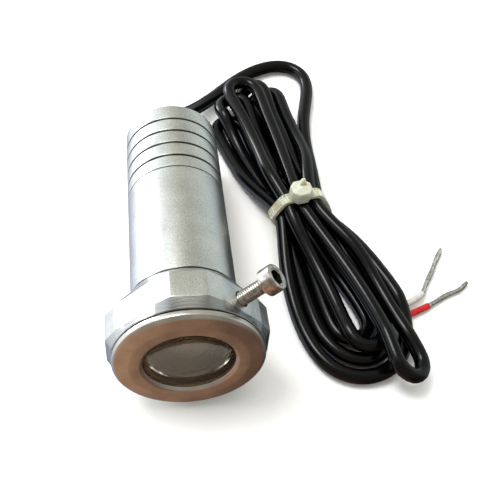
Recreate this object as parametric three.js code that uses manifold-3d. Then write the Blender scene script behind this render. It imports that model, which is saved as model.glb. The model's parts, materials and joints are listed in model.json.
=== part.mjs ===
// An underwater pond light: a turned aluminium spotlight lying on its collar and its rear rim, with its
// low-voltage lead tied in a hank beside it. Millimetres, +Z up. The light's own axis is Y: its lens looks
// towards -Y and its lead leaves at +Y. The origin is on the table, under the middle of the light.
import * as THREE from "three";
import { ConvexGeometry } from "three/addons/geometries/ConvexGeometry.js";
import { mergeVertices } from "three/addons/utils/BufferGeometryUtils.js";
import Module from "manifold-3d";

// ---- General ----
const FACETS = 48; // round the big turned pieces
const SMALL_FACETS = 20; // round the small ones
const TINY_FACETS = 12;
const GAP = 0.25; // between pieces that seat in or on each other
const WELD = 1e-5;

// ---- Casing tube. Along the light, 0 is the collar's rear edge. ----
const TUBE_RADIUS = 11;
const TUBE_WALL = 1.6;
const TUBE_LENGTH = 29.1; // that shows, from the collar to the rear cap
const TUBE_INSERTION = 4.5; // into the collar

// ---- Rear cap ----
const CAP_LENGTH = 21.7;
const CAP_WALL = 2.2;
const CAP_END_WALL = 3;
const CAP_CHAMFER = 0.7;
const CAP_SPIGOT_LENGTH = 6;
const CAP_SPIGOT_WALL = 2;
const GROOVE_COUNT = 4;
const GROOVE_PITCH = 4.2;
const GROOVE_WIDTH = 0.7;
const GROOVE_DEPTH = 0.45;
const FIRST_GROOVE = 3.8; // from the cap's front edge
const REAR_ORING_WIDTH = 1.5;
const REAR_ORING_DEPTH = 1;

// ---- Front collar: four narrow flats square to the light, four wide ones between them ----
const NARROW_FLAT_RISE = 1.54; // of the narrow flats above the wide ones
const NARROW_FLAT_HALF_ANGLE = 12.2;
const WIDE_FLAT_WALL = 1.25; // round the bezel's counterbore
const WIDE_FLAT_HALF_ANGLE = 20.5;
const COLLAR_REAR = -0.5;
const COLLAR_REAR_LIP = 0.45; // round the seal
const FLATS_REAR = -5.2;
const FLATS_FRONT = -11;
const COLLAR_FRONT = -13.15;
const SEAL_THICKNESS = 0.65;
const SEAL_RECESS_DEPTH = 1.4;
const SEAT_RECESS_DEPTH = 1.25; // from the bezel's counterbore down to the lens seat

// ---- Bezel ring and lens ----
const BEZEL_SHOULDER = 2.05; // beyond its sleeve
const BEZEL_LENGTH = 2.1;
const BEZEL_LIP = 1.1;
const BEZEL_SLEEVE_LENGTH = 2.15;
const BEZEL_SLEEVE_WALL = 2.75;
const WINDOW_BEVEL = 0.6;
const FACE_ZONE_WIDTH = 2.8; // inside it the face is flat, outside it falls back a little
const FACE_FALL = 0.25;
const FACE_EDGE = 0.65; // between the face and the rim
const RIM_ROUNDING = 0.2;
const LENS_RADIUS = 10;
const LENS_HOLD = 1; // of the lens's edge behind the bezel's lip
const LENS_SEAT_WIDTH = 1.4;
const LENS_EDGE = 2.5;
const LENS_CROWN = 1.3; // of its convex rear face
const GASKET_THICKNESS = 0.6;
const SEAT_ORING_WIDTH = 0.8;

// ---- Clamp screw, an M3 socket cap ----
const SCREW_PLACE = -8; // along the light
const SCREW_ANGLE = 45; // from the top, on a wide flat
const SCREW_SHANK_RADIUS = 1.5;
const SCREW_SHANK_LENGTH = 9;
const SCREW_SHOWING = 6; // shank between the flat and the head
const SCREW_HEAD_RADIUS = 2.75;
const SCREW_HEAD_LENGTH = 3;
const SCREW_HEAD_CHAMFER = 0.35;
const SOCKET_FLATS = 2.9;
const SOCKET_DEPTH = 2.2;
const SCREW_HOLE_DEPTH = 5.1; // blind, so that it can't let water in

// ---- Light engine ----
const SLUG_THICKNESS = 4;
const SLUG_PLACE = -0.2;
const STAR_MARGIN = 0.8; // between the board and the tube
const STAR_THICKNESS = 1.6;
const EMITTER_SIDE = 3.5;
const EMITTER_HEIGHT = 0.8;
const DOME_RADIUS = 1.35;
const CUP_CLEARANCE = 0.5;
const CUP_NECK_RADIUS = 3.2;
const CUP_WALL = 0.5;
const CUP_LENGTH = 5.6;
const CUP_SWELL = 0.56; // of the sum of its two radii, part way along
const CUP_SWELL_PLACE = 0.42;
const STAR_SCREW_CIRCLE = 6.2;
const STAR_SCREW_RADIUS = 0.8;
const STAR_SCREW_HEAD_RADIUS = 1.5;
const STAR_SCREW_HEAD_HEIGHT = 0.9;
const STAR_SCREW_LENGTH = 3.4;
const WIRE_HOLE_RADIUS = 1.1;
const WIRE_ACROSS = 3.3;
const WIRE_BELOW = 5.61;
const THROUGH_HOLE = 8; // longer than the board and the slug together

// ---- Driver ----
const BOARD_CLEARANCE = 0.49; // from the spigot's bore
const BOARD_LENGTH = 20;
const BOARD_THICKNESS = 1.2;
const BOARD_INSERTION = 3.65; // of its rear end into the cap's spigot
const BOARD_HEIGHT = -2.4;
const LED_LEAD_RADIUS = 0.55;
const INDUCTOR = { radius: 3, height: 4.4, x: -2.2, y: 4.2 };
const CAPACITOR = { radius: 2.5, height: 6.5, x: 2.6, y: 11 };
const RECTIFIER = { width: 4, length: 4.6, height: 1.6, x: -2.8, y: 14.8 };
const CHIP = { width: 4, length: 4.9, height: 1.5, x: 3, y: 4.6 };

// ---- Cable gland ----
const GLAND_FLANGE_RISE = 0.9; // of its flats above the shank
const GLAND_FLANGE_THICKNESS = 1.2;
const GLAND_WALL = 0.7;
const GLAND_SHANK_LENGTH = 6.4;
const GLAND_NUT_RISE = 1.4;
const GLAND_NUT_THICKNESS = 2;
const BUSH_WALL = 0.325;
const BUSH_NOSE = 1.2;
const BUSH_LIP = 0.6;
const INNER_CORD_LENGTH = 11; // from the cap's end face in
const INNER_CORD_END = 2; // of it, in the flange

// ---- Cord, cores and cable tie ----
const CORD_RADIUS = 1.7;
const CORD_SIDES = 8;
const CORE_RADIUS = 0.75;
const STRAND_RADIUS = 0.45;
const HANK_PLACE = { x: 30, y: 31 }; // of the middle of the tie
const HANK_TURN = 13; // of the hank's length from the light's axis
const HANK_HEIGHT = 9.8;
const HANK_ROUNDING = 1.7;
const WAIST_BOTTOM = 1.35; // of the runs in the tie, over the table
const RUN_SQUEEZE = 0.15; // of neighbouring runs into each other
const RUN_ROWS = [{ start: -1, count: 3 }, { start: -1.5, count: 4 }, { start: -1, count: 3 }];
const LEAD_RUN = 6.1; // across the tie, in the lowest row
const RUN_SIDES = 16;
const STRAP_WIDTH = 2.5;
const STRAP_THICKNESS = 1.05;
const TIE_HEAD = { width: 5, length: 4.6, height: 3.7, chamfer: 0.9 };

// ---- Finishes ----
const finish = (color, roughness, metalness) =>
  new THREE.MeshStandardMaterial({ color, roughness, metalness });
const SATIN_ALUMINIUM = finish(0xc4c6c8, 0.38, 1);
const TURNED_ALUMINIUM = finish(0xd0d0d0, 0.22, 1);
const STAINLESS = finish(0xb8b2a8, 0.25, 1);
const BRASS = finish(0xb9975a, 0.3, 1);
const CLEAR_GLASS = finish(0xe6e8dc, 0.05, 0);
const BLACK_RUBBER = finish(0x161616, 0.8, 0);
const BLACK_PVC = finish(0x121316, 0.4, 0);
const WHITE_PVC = finish(0xe8e6e0, 0.4, 0);
const RED_PVC = finish(0xb01c22, 0.4, 0);
const TINNED_COPPER = finish(0xc9c8c2, 0.35, 1);
const NATURAL_NYLON = finish(0xe9ead2, 0.45, 0);
const GREEN_LAMINATE = finish(0x1f5a38, 0.5, 0);
const WHITE_MASK = finish(0xe4e4e0, 0.5, 0);
const PHOSPHOR = finish(0xe8c83a, 0.6, 0);
const BLACK_EPOXY = finish(0x202022, 0.5, 0);

// ---- Making, joining and cutting ----
const wasm = await Module();
wasm.setup();

/** The surface with its shared corners merged and its collapsed triangles left out. */
function welded(geometry) {
  geometry.deleteAttribute("normal");
  geometry.deleteAttribute("uv");
  const merged = mergeVertices(geometry, WELD);
  const corners = merged.index.array;
  const kept = [];
  for (let i = 0; i < corners.length; i += 3) {
    const [a, b, c] = corners.slice(i, i + 3);
    if (a !== b && b !== c && c !== a) kept.push(a, b, c);
  }
  merged.setIndex(kept);
  return merged;
}

function solid(geometry) {
  const surface = welded(geometry);
  return new wasm.Manifold(
    new wasm.Mesh({
      numProp: 3,
      vertProperties: surface.attributes.position.array,
      triVerts: new Uint32Array(surface.index.array),
    }),
  );
}

function surfaceOf(made) {
  const mesh = made.getMesh();
  const geometry = new THREE.BufferGeometry();
  geometry.setAttribute("position", new THREE.BufferAttribute(mesh.vertProperties, 3));
  geometry.setIndex(new THREE.BufferAttribute(mesh.triVerts, 1));
  geometry.computeVertexNormals();
  return geometry;
}

/** A body without what the tools take away. */
function cut(body, ...tools) {
  return surfaceOf(tools.reduce((left, tool) => left.subtract(solid(tool)), solid(body)));
}

function joined(...bodies) {
  return surfaceOf(bodies.map(solid).reduce((whole, body) => whole.add(body)));
}

/** A shape turned on a lathe about Y. The profile, [radius, place] in turn, goes out, back and in again. */
function turned(profile, facets = FACETS) {
  const points = profile.map(([radius, place]) => new THREE.Vector2(radius, place));
  return welded(new THREE.LatheGeometry(points, facets));
}

function ring(inner, outer, length, facets = FACETS) {
  return turned([[inner, 0], [outer, 0], [outer, length], [inner, length], [inner, 0]], facets);
}

function disc(radius, length, facets = FACETS) {
  return turned([[0, 0], [radius, 0], [radius, length], [0, length]], facets);
}

const box = (x, y, z) => new THREE.BoxGeometry(x, y, z);

/** A bar with six flats about Y, from its own front face. */
function hexBar(flats, length) {
  const bar = new THREE.CylinderGeometry(flats / Math.sqrt(3), flats / Math.sqrt(3), length, 6);
  return bar.translate(0, length / 2, 0);
}

/** The centre line through a list of hand-chosen points. */
const line = (points) =>
  new THREE.CatmullRomCurve3(points.map((point) => new THREE.Vector3(...point)), false, "centripetal");

/** A round wire or cord along a centre line. */
function wire(points, radius, steps, sides = CORD_SIDES) {
  const section = new THREE.Shape();
  for (let i = 0; i < sides; i++) {
    const angle = (2 * Math.PI * i) / sides;
    section[i ? "lineTo" : "moveTo"](radius * Math.cos(angle), radius * Math.sin(angle));
  }
  return new THREE.ExtrudeGeometry(section, {
    steps,
    extrudePath: line(points),
    bevelEnabled: false,
  });
}

function node(name, geometry, material, parent) {
  const mesh = new THREE.Mesh(geometry, material);
  mesh.name = name;
  parent.add(mesh);
  return mesh;
}

function nodeAt(name, geometry, material, parent, place) {
  const mesh = node(name, geometry, material, parent);
  mesh.position.y = place;
  return mesh;
}

const radians = THREE.MathUtils.degToRad;

// ---- Sizes and places that follow from those above ----
const boreRadius = TUBE_RADIUS - TUBE_WALL;
const spigotRadius = boreRadius - GAP;
const spigotBore = spigotRadius - CAP_SPIGOT_WALL;
const starRadius = boreRadius - STAR_MARGIN;
const sealRecessRadius = TUBE_RADIUS + SEAL_THICKNESS;
const collarRearRadius = sealRecessRadius + COLLAR_REAR_LIP;
const collarBoreRadius = LENS_RADIUS - LENS_SEAT_WIDTH;
const crownRadius = collarBoreRadius - 2 * GAP;
const cupFlareRadius = collarBoreRadius - CUP_CLEARANCE;
const windowRadius = LENS_RADIUS - LENS_HOLD;
const faceZoneRadius = windowRadius + FACE_ZONE_WIDTH;
const sleeveRadius = LENS_RADIUS + GAP + BEZEL_SLEEVE_WALL;
const bezelRadius = sleeveRadius + BEZEL_SHOULDER;
const wideApothem = sleeveRadius + GAP + WIDE_FLAT_WALL;
const narrowApothem = wideApothem + NARROW_FLAT_RISE;
const glandBoreRadius = CORD_RADIUS + GAP + BUSH_WALL + GAP / 2;
const glandShankRadius = glandBoreRadius + GLAND_WALL;
const capFront = TUBE_LENGTH + GAP;
const capRear = TUBE_LENGTH + CAP_LENGTH;
const tubeFront = -TUBE_INSERTION;
const spigotFront = capFront - CAP_SPIGOT_LENGTH;
const boardPlace = spigotFront + BOARD_INSERTION - BOARD_LENGTH;
const bezelRear = COLLAR_FRONT - GAP;
const bezelFront = bezelRear - BEZEL_LENGTH;
const gasketFront = bezelFront + BEZEL_LIP + GAP;
const lensFront = gasketFront + GASKET_THICKNESS + GAP;
const lensRear = lensFront + LENS_EDGE;
const sleeveRear = bezelRear + BEZEL_SLEEVE_LENGTH;
const counterboreFloor = sleeveRear + GAP;
const lensSeat = counterboreFloor + SEAT_RECESS_DEPTH;
const starFront = SLUG_PLACE - GAP - STAR_THICKNESS;

// ---- Casing ----
function addCasing(light) {
  const tube = ring(boreRadius, TUBE_RADIUS, TUBE_LENGTH + TUBE_INSERTION);
  nodeAt("body_tube", tube, SATIN_ALUMINIUM, light, tubeFront);
  node("rear_cap", rearCap(), SATIN_ALUMINIUM, light);
  const oring = ring(
    spigotRadius - REAR_ORING_DEPTH + GAP / 2,
    spigotRadius + GAP / 2,
    REAR_ORING_WIDTH - GAP,
  );
  nodeAt("rear_oring", oring, BLACK_RUBBER, light, rearOringPlace() + GAP / 2);
  const seal = ring(TUBE_RADIUS + GAP / 2, sealRecessRadius - GAP / 2, SEAL_RECESS_DEPTH - GAP);
  nodeAt("collar_oring", seal, BLACK_RUBBER, light, COLLAR_REAR - SEAL_RECESS_DEPTH + GAP);
}

const rearOringPlace = () => capFront - CAP_SPIGOT_LENGTH / 2 - REAR_ORING_WIDTH / 2;

/** The closed rear shell: a spigot with its O-ring groove, grip grooves round it and a hole for the gland. */
function rearCap() {
  const oringPlace = rearOringPlace();
  const grooveFloor = spigotRadius - REAR_ORING_DEPTH;
  const outside = [
    [spigotBore, spigotFront],
    [spigotRadius, spigotFront],
    [spigotRadius, oringPlace],
    [grooveFloor, oringPlace],
    [grooveFloor, oringPlace + REAR_ORING_WIDTH],
    [spigotRadius, oringPlace + REAR_ORING_WIDTH],
    [spigotRadius, capFront],
    [TUBE_RADIUS, capFront],
  ];
  for (let i = 0; i < GROOVE_COUNT; i++) {
    const front = TUBE_LENGTH + FIRST_GROOVE + i * GROOVE_PITCH - GROOVE_WIDTH / 2;
    outside.push([TUBE_RADIUS, front]);
    outside.push([TUBE_RADIUS - GROOVE_DEPTH, front + GROOVE_WIDTH / 4]);
    outside.push([TUBE_RADIUS - GROOVE_DEPTH, front + (3 * GROOVE_WIDTH) / 4]);
    outside.push([TUBE_RADIUS, front + GROOVE_WIDTH]);
  }
  const glandHole = glandShankRadius + GAP;
  const inside = [
    [TUBE_RADIUS, capRear - CAP_CHAMFER],
    [TUBE_RADIUS - CAP_CHAMFER, capRear],
    [glandHole, capRear],
    [glandHole, capRear - CAP_END_WALL],
    [TUBE_RADIUS - CAP_WALL, capRear - CAP_END_WALL],
    [TUBE_RADIUS - CAP_WALL, capFront + CAP_WALL],
    [spigotBore, capFront],
    [spigotBore, spigotFront],
  ];
  return turned([...outside, ...inside]);
}

// ---- Front collar ----
/** The corners of the collar's flats, round the axis at one place along it. */
function collarCorners(place) {
  const corners = [];
  for (let quarter = 0; quarter < 4; quarter++) {
    const flats = [
      [quarter * 90, NARROW_FLAT_HALF_ANGLE, narrowApothem],
      [quarter * 90 + 45, WIDE_FLAT_HALF_ANGLE, wideApothem],
    ];
    for (const [middle, half, apothem] of flats) {
      for (const angle of [middle - half, middle + half]) {
        corners.push(around(angle, apothem / Math.cos(radians(half)), place));
      }
    }
  }
  return corners;
}

/** A point at an angle from the top, towards +X, at a radius and a place along the light. */
function around(angle, radius, place) {
  return new THREE.Vector3(
    radius * Math.sin(radians(angle)),
    place,
    radius * Math.cos(radians(angle)),
  );
}

function circle(radius, place) {
  return Array.from({ length: FACETS }, (_, i) => around((360 * i) / FACETS, radius, place));
}

function frontCollar() {
  const flats = new ConvexGeometry([
    ...circle(collarRearRadius, COLLAR_REAR),
    ...collarCorners(FLATS_REAR),
    ...collarCorners(FLATS_FRONT),
  ]);
  const nose = new ConvexGeometry([
    ...collarCorners(FLATS_FRONT),
    ...circle(bezelRadius, COLLAR_FRONT),
  ]);
  const tubeSocket = TUBE_RADIUS + GAP;
  const bores = turned([
    [0, COLLAR_FRONT - 1],
    [sleeveRadius + GAP, COLLAR_FRONT - 1],
    [sleeveRadius + GAP, counterboreFloor],
    [LENS_RADIUS + GAP, counterboreFloor],
    [LENS_RADIUS + GAP, lensSeat],
    [collarBoreRadius, lensSeat],
    [collarBoreRadius, tubeFront - GAP],
    [tubeSocket, tubeFront - GAP],
    [tubeSocket, COLLAR_REAR - SEAL_RECESS_DEPTH],
    [sealRecessRadius, COLLAR_REAR - SEAL_RECESS_DEPTH],
    [sealRecessRadius, COLLAR_REAR + 1],
    [0, COLLAR_REAR + 1],
  ]);
  const hole = disc(SCREW_SHANK_RADIUS + GAP, SCREW_HOLE_DEPTH + 2, SMALL_FACETS);
  hole.translate(0, -SCREW_HOLE_DEPTH, 0);
  placeOnFlat(hole);
  return cut(joined(flats, nose), bores, hole);
}

/** Turns something drawn outwards along Y to stand on the screw's flat. */
function placeOnFlat(thing) {
  const outwards = around(SCREW_ANGLE, 1, 0);
  const turn = new THREE.Quaternion().setFromUnitVectors(new THREE.Vector3(0, 1, 0), outwards);
  const place = around(SCREW_ANGLE, wideApothem, SCREW_PLACE);
  const matrix = new THREE.Matrix4().compose(place, turn, new THREE.Vector3(1, 1, 1));
  thing.applyMatrix4(matrix);
  return thing;
}

/** The screw, drawn outwards along Y from the flat that it enters. */
function clampScrew() {
  const tip = SCREW_SHOWING - SCREW_SHANK_LENGTH;
  const top = SCREW_SHOWING + SCREW_HEAD_LENGTH;
  const body = turned(
    [
      [0, tip],
      [SCREW_SHANK_RADIUS - SCREW_HEAD_CHAMFER, tip],
      [SCREW_SHANK_RADIUS, tip + SCREW_HEAD_CHAMFER],
      [SCREW_SHANK_RADIUS, SCREW_SHOWING],
      [SCREW_HEAD_RADIUS - SCREW_HEAD_CHAMFER, SCREW_SHOWING],
      [SCREW_HEAD_RADIUS, SCREW_SHOWING + SCREW_HEAD_CHAMFER],
      [SCREW_HEAD_RADIUS, top - SCREW_HEAD_CHAMFER],
      [SCREW_HEAD_RADIUS - SCREW_HEAD_CHAMFER, top],
      [0, top],
    ],
    SMALL_FACETS,
  );
  return cut(body, hexBar(SOCKET_FLATS, SOCKET_DEPTH + 1).translate(0, top - SOCKET_DEPTH, 0));
}

// ---- Bezel, lens and their seals ----
function bezelRing() {
  const opening = windowRadius + WINDOW_BEVEL;
  return turned([
    [windowRadius, bezelFront + WINDOW_BEVEL],
    [opening, bezelFront],
    [faceZoneRadius, bezelFront],
    [bezelRadius - FACE_EDGE, bezelFront + FACE_FALL],
    [bezelRadius - RIM_ROUNDING, bezelFront + 2 * FACE_FALL + RIM_ROUNDING],
    [bezelRadius, bezelRear - RIM_ROUNDING],
    [bezelRadius - RIM_ROUNDING, bezelRear],
    [sleeveRadius, bezelRear],
    [sleeveRadius, sleeveRear],
    [LENS_RADIUS + GAP, sleeveRear],
    [LENS_RADIUS + GAP, bezelFront + BEZEL_LIP],
    [windowRadius, bezelFront + BEZEL_LIP],
    [windowRadius, bezelFront + WINDOW_BEVEL],
  ]);
}

function lens() {
  const crown = [];
  const sphere = (LENS_RADIUS ** 2 + LENS_CROWN ** 2) / (2 * LENS_CROWN);
  const rings = 5;
  for (let i = 1; i <= rings; i++) {
    const radius = crownRadius * (1 - i / rings);
    const height = Math.sqrt(sphere ** 2 - radius ** 2) - (sphere - LENS_CROWN);
    crown.push([radius, lensRear + height]);
  }
  return turned([
    [0, lensFront],
    [LENS_RADIUS, lensFront],
    [LENS_RADIUS, lensRear],
    [crownRadius, lensRear],
    ...crown,
  ]);
}

function addFront(light) {
  node("front_collar", frontCollar(), SATIN_ALUMINIUM, light);
  node("bezel_ring", bezelRing(), TURNED_ALUMINIUM, light);
  const gasket = ring(windowRadius + GAP, LENS_RADIUS, GASKET_THICKNESS);
  nodeAt("lens_gasket", gasket, BLACK_RUBBER, light, gasketFront);
  node("glass_lens", lens(), CLEAR_GLASS, light);
  const oring = ring(collarBoreRadius + GAP, LENS_RADIUS, SEAT_ORING_WIDTH);
  nodeAt("lens_seat_oring", oring, BLACK_RUBBER, light, lensSeat - GAP - SEAT_ORING_WIDTH);
}

// ---- Light engine, from the reflector back to the heat slug ----
function starScrew() {
  return turned(
    [
      [0, -STAR_SCREW_HEAD_HEIGHT],
      [STAR_SCREW_HEAD_RADIUS, -STAR_SCREW_HEAD_HEIGHT],
      [STAR_SCREW_HEAD_RADIUS, 0],
      [STAR_SCREW_RADIUS, 0],
      [STAR_SCREW_RADIUS, STAR_SCREW_LENGTH],
      [0, STAR_SCREW_LENGTH],
    ],
    TINY_FACETS,
  );
}

/** What is cut out of the board and the slug for a hole through both. */
function through(radius, x, z) {
  return disc(radius, THROUGH_HOLE, TINY_FACETS).translate(x, starFront - 1, z);
}

function addLightEngine(light) {
  const screwSides = [["left", -1], ["right", 1]];
  const screwHoles = () =>
    screwSides.map(([, side]) =>
      through(STAR_SCREW_RADIUS + GAP, side * STAR_SCREW_CIRCLE, 0),
    );
  const wireHoles = () =>
    screwSides.map(([, side]) =>
      through(WIRE_HOLE_RADIUS, side * WIRE_ACROSS, -WIRE_BELOW),
    );
  const slug = disc(boreRadius - GAP, SLUG_THICKNESS).translate(0, SLUG_PLACE, 0);
  node("heat_slug", cut(slug, ...screwHoles(), ...wireHoles()), TURNED_ALUMINIUM, light);
  const star = disc(starRadius, STAR_THICKNESS).translate(0, starFront, 0);
  node("led_star_board", cut(star, ...screwHoles(), ...wireHoles()), WHITE_MASK, light);
  for (const [side, sign] of screwSides) {
    const screw = nodeAt(`star_board_screw_${side}`, starScrew(), STAINLESS, light, starFront - GAP);
    screw.position.x = sign * STAR_SCREW_CIRCLE;
  }
  const emitterRear = starFront - GAP;
  const emitter = box(EMITTER_SIDE, EMITTER_HEIGHT, EMITTER_SIDE);
  nodeAt("led_emitter", emitter, PHOSPHOR, light, emitterRear - EMITTER_HEIGHT / 2);
  const slant = DOME_RADIUS * Math.SQRT1_2;
  const dome = turned([[0, -DOME_RADIUS], [slant, -slant], [DOME_RADIUS, 0], [0, 0]], TINY_FACETS);
  nodeAt("led_dome", dome, CLEAR_GLASS, light, emitterRear - EMITTER_HEIGHT - GAP);
  const neckRear = emitterRear - EMITTER_HEIGHT / 2;
  const flareFront = neckRear - CUP_LENGTH;
  const swellRadius = (cupFlareRadius + CUP_NECK_RADIUS) * CUP_SWELL;
  const swellPlace = neckRear - CUP_LENGTH * CUP_SWELL_PLACE;
  const cup = turned([
    [cupFlareRadius - CUP_WALL, flareFront],
    [cupFlareRadius, flareFront],
    [swellRadius, swellPlace],
    [CUP_NECK_RADIUS + CUP_WALL, neckRear],
    [CUP_NECK_RADIUS, neckRear],
    [swellRadius - CUP_WALL, swellPlace],
    [cupFlareRadius - CUP_WALL, flareFront],
  ]);
  node("reflector_cup", cup, TURNED_ALUMINIUM, light);
  const leadLines = [["red", 1, RED_PVC], ["white", -1, WHITE_PVC]];
  for (const [colour, side, material] of leadLines) {
    const x = side * WIRE_ACROSS;
    const route = [
      [x, starFront + GAP, -WIRE_BELOW],
      [x, SLUG_PLACE + SLUG_THICKNESS, -WIRE_BELOW],
      [x, boardPlace - 1.2, -WIRE_BELOW],
      [x, boardPlace - GAP, BOARD_HEIGHT - BOARD_THICKNESS - 2 * LED_LEAD_RADIUS],
    ];
    node(`led_lead_${colour}`, wire(route, LED_LEAD_RADIUS, 8, 6), material, light);
  }
}

// ---- Driver on its board, inside the tube ----
function addDriver(light) {
  const driver = new THREE.Group();
  driver.position.set(0, boardPlace, BOARD_HEIGHT);
  light.add(driver);
  const lowest = BOARD_THICKNESS / 2 - BOARD_HEIGHT;
  const boardWidth = 2 * (Math.sqrt(spigotBore ** 2 - lowest ** 2) - BOARD_CLEARANCE);
  const board = box(boardWidth, BOARD_LENGTH, BOARD_THICKNESS);
  nodeAt("driver_board", board, GREEN_LAMINATE, driver, BOARD_LENGTH / 2);
  const top = BOARD_THICKNESS / 2 + GAP;
  const standing = [
    ["driver_inductor", INDUCTOR, BLACK_EPOXY],
    ["driver_capacitor", CAPACITOR, BLACK_PVC],
  ];
  for (const [name, { radius, height, x, y }, material] of standing) {
    const part = node(name, disc(radius, height, SMALL_FACETS), material, driver);
    part.rotation.x = Math.PI / 2;
    part.position.set(x, y, top);
  }
  const blocks = [["driver_rectifier", RECTIFIER], ["driver_chip", CHIP]];
  for (const [name, { width, length, height, x, y }] of blocks) {
    const part = node(name, box(width, length, height), BLACK_EPOXY, driver);
    part.position.set(x, y, top + height / 2);
  }
}

// ---- Gland and the end of the cord inside the cap ----
function addGland(light) {
  const flange = hexBar(2 * (glandShankRadius + GLAND_FLANGE_RISE), GLAND_FLANGE_THICKNESS);
  const shank = disc(glandShankRadius, GLAND_SHANK_LENGTH, SMALL_FACETS);
  shank.translate(0, GLAND_FLANGE_THICKNESS / 2 - GLAND_SHANK_LENGTH, 0);
  const bore = disc(glandBoreRadius, 3 * GLAND_SHANK_LENGTH, SMALL_FACETS);
  bore.translate(0, -2 * GLAND_SHANK_LENGTH, 0);
  const body = cut(joined(flange, shank), bore);
  const seat = capRear + GAP;
  nodeAt("gland_body", body, BRASS, light, seat);
  const nutBore = disc(glandShankRadius + GAP, GLAND_NUT_THICKNESS + 2, SMALL_FACETS);
  const nutBar = hexBar(2 * (glandShankRadius + GLAND_NUT_RISE), GLAND_NUT_THICKNESS);
  const nut = cut(nutBar, nutBore.translate(0, -1, 0));
  nodeAt("gland_nut", nut, BRASS, light, capRear - CAP_END_WALL - GAP - GLAND_NUT_THICKNESS);
  const bushBore = CORD_RADIUS + GAP;
  const bushRadius = glandBoreRadius - GAP / 2;
  const bushLength = GLAND_SHANK_LENGTH - 1;
  const bush = turned(
    [
      [bushBore, -bushLength],
      [bushRadius, -bushLength],
      [bushRadius, GLAND_FLANGE_THICKNESS + GAP],
      [bushRadius + BUSH_LIP, GLAND_FLANGE_THICKNESS + GAP],
      [bushRadius + BUSH_LIP / 3, GLAND_FLANGE_THICKNESS + BUSH_NOSE],
      [bushBore, GLAND_FLANGE_THICKNESS + BUSH_NOSE],
      [bushBore, -bushLength],
    ],
    SMALL_FACETS,
  );
  nodeAt("gland_bush", bush, BLACK_RUBBER, light, seat);
  const innerEnd = capRear - INNER_CORD_LENGTH;
  const stub = disc(CORD_RADIUS, INNER_CORD_LENGTH + INNER_CORD_END, TINY_FACETS);
  nodeAt("cord_inner_end", stub, BLACK_PVC, light, innerEnd);
  const boardRear = boardPlace + BOARD_LENGTH;
  for (const [colour, side, material] of [["red", 1, RED_PVC], ["white", -1, WHITE_PVC]]) {
    const route = [
      [side * 0.9, innerEnd - GAP, 0],
      [side * 1.6, innerEnd - 4, -0.6],
      [side * 2.4, boardRear + 4, BOARD_HEIGHT],
      [side * 3, boardRear + GAP, BOARD_HEIGHT],
    ];
    node(`feed_core_${colour}`, wire(route, CORE_RADIUS, 8, 6), material, light);
  }
}

// ---- Cord outside the light ----
/** The lead as it lies: out of the gland, down to the table, round in a loop and back to the hank. */
const LEAD_ROUTE = [
  [0, 53.05, 10.66],
  [0.3, 56, 10.2],
  [2.7, 61, 8.6],
  [5.8, 65.6, 6.2],
  [10, 71.3, 3.4],
  [14.8, 77.4, 1.9],
  [19.8, 82.3, 1.8],
  [24.8, 85.9, 1.8],
  [30.2, 88.7, 1.8],
  [35, 89.4, 1.8],
  [39.4, 87.4, 1.8],
  [41.4, 82.9, 1.8],
  [40.4, 77.4, 1.8],
  [38.2, 71.6, 1.8],
  [36.6, 65.6, 1.8],
  [35.8, 59, 1.8],
  [35.9, 53, 1.8],
  [36.7, 48.1, 1.8],
];
const WHITE_CORE_ROUTE = [[51.9, 5, 1.6], [54.2, 6, 1.6], [56.8, 7.8, 1.3]];
const WHITE_STRAND_ROUTE = [
  [57.1, 8.2, 1.2], [58.7, 11, 0.8], [60.8, 14.2, 0.6], [62.7, 17.4, 0.5], [65, 21, 0.5],
];
const RED_CORE_ROUTE = [[52.5, 2.6, 1], [55, 3.6, 0.9], [57.6, 4.7, 0.8]];
const RED_STRAND_ROUTE = [
  [58, 4.9, 0.7], [60.4, 6.2, 0.6], [63.1, 7.6, 0.5], [66.3, 8.8, 0.5], [68.9, 10.8, 0.5],
];

/** The hank seen from above: x across it, y along it to the far folds, from the middle of the tie. */
const HANK_OUTLINE = [
  [6.9, -2.6], [8.9, -9], [11, -16], [12.6, -24], [13.5, -32], [13, -38.5], [10, -44.6], [6, -48.4],
  [1, -47.6], [-4.6, -44.6], [-9, -40.6], [-11.6, -34.6], [-11.8, -27], [-10, -18], [-8, -10], [-6.9, -2.6],
  [-6.9, 3.4], [-8.2, 11], [-9.9, 19], [-10.6, 28], [-10.4, 35], [-8.4, 40.6], [-3.6, 45.4], [2.4, 48.6],
  [7.4, 48.8], [10, 45], [9.8, 36], [8.4, 27], [7.2, 17], [6.9, 3.4],
];
const LEAD_SHOULDER = [[6.2, 4.6], [11.5, 10], [11.6, 14.6], [8.2, 14.7], [6.2, 15]];

function hank() {
  const layout = (points, smooth) => {
    const corners = points.map(([x, y]) => new THREE.Vector3(x, y, 0));
    const curve = new THREE.CatmullRomCurve3(corners, true, "centripetal");
    const laid = smooth ? curve.getPoints(points.length * 2) : corners;
    return new THREE.Shape(laid.map(({ x, y }) => new THREE.Vector2(x, y)));
  };
  const rounding = { bevelThickness: HANK_ROUNDING, bevelSize: HANK_ROUNDING, bevelSegments: 2 };
  const bundle = new THREE.ExtrudeGeometry(layout(HANK_OUTLINE, true), {
    depth: HANK_HEIGHT - 2 * HANK_ROUNDING,
    bevelOffset: -HANK_ROUNDING,
    ...rounding,
  }).translate(0, 0, HANK_ROUNDING);
  const shoulder = new THREE.ExtrudeGeometry(layout(LEAD_SHOULDER, false), {
    depth: 2 * CORD_RADIUS,
    bevelEnabled: false,
  });
  const channel = cut(
    box(3 * HANK_HEIGHT, STRAP_WIDTH + 2 * GAP, 3 * HANK_HEIGHT),
    waist(-GAP, STRAP_WIDTH + 4 * GAP),
  );
  return cut(joined(bundle, shoulder, waist(-GAP, STRAP_WIDTH + 4)), channel);
}

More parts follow.
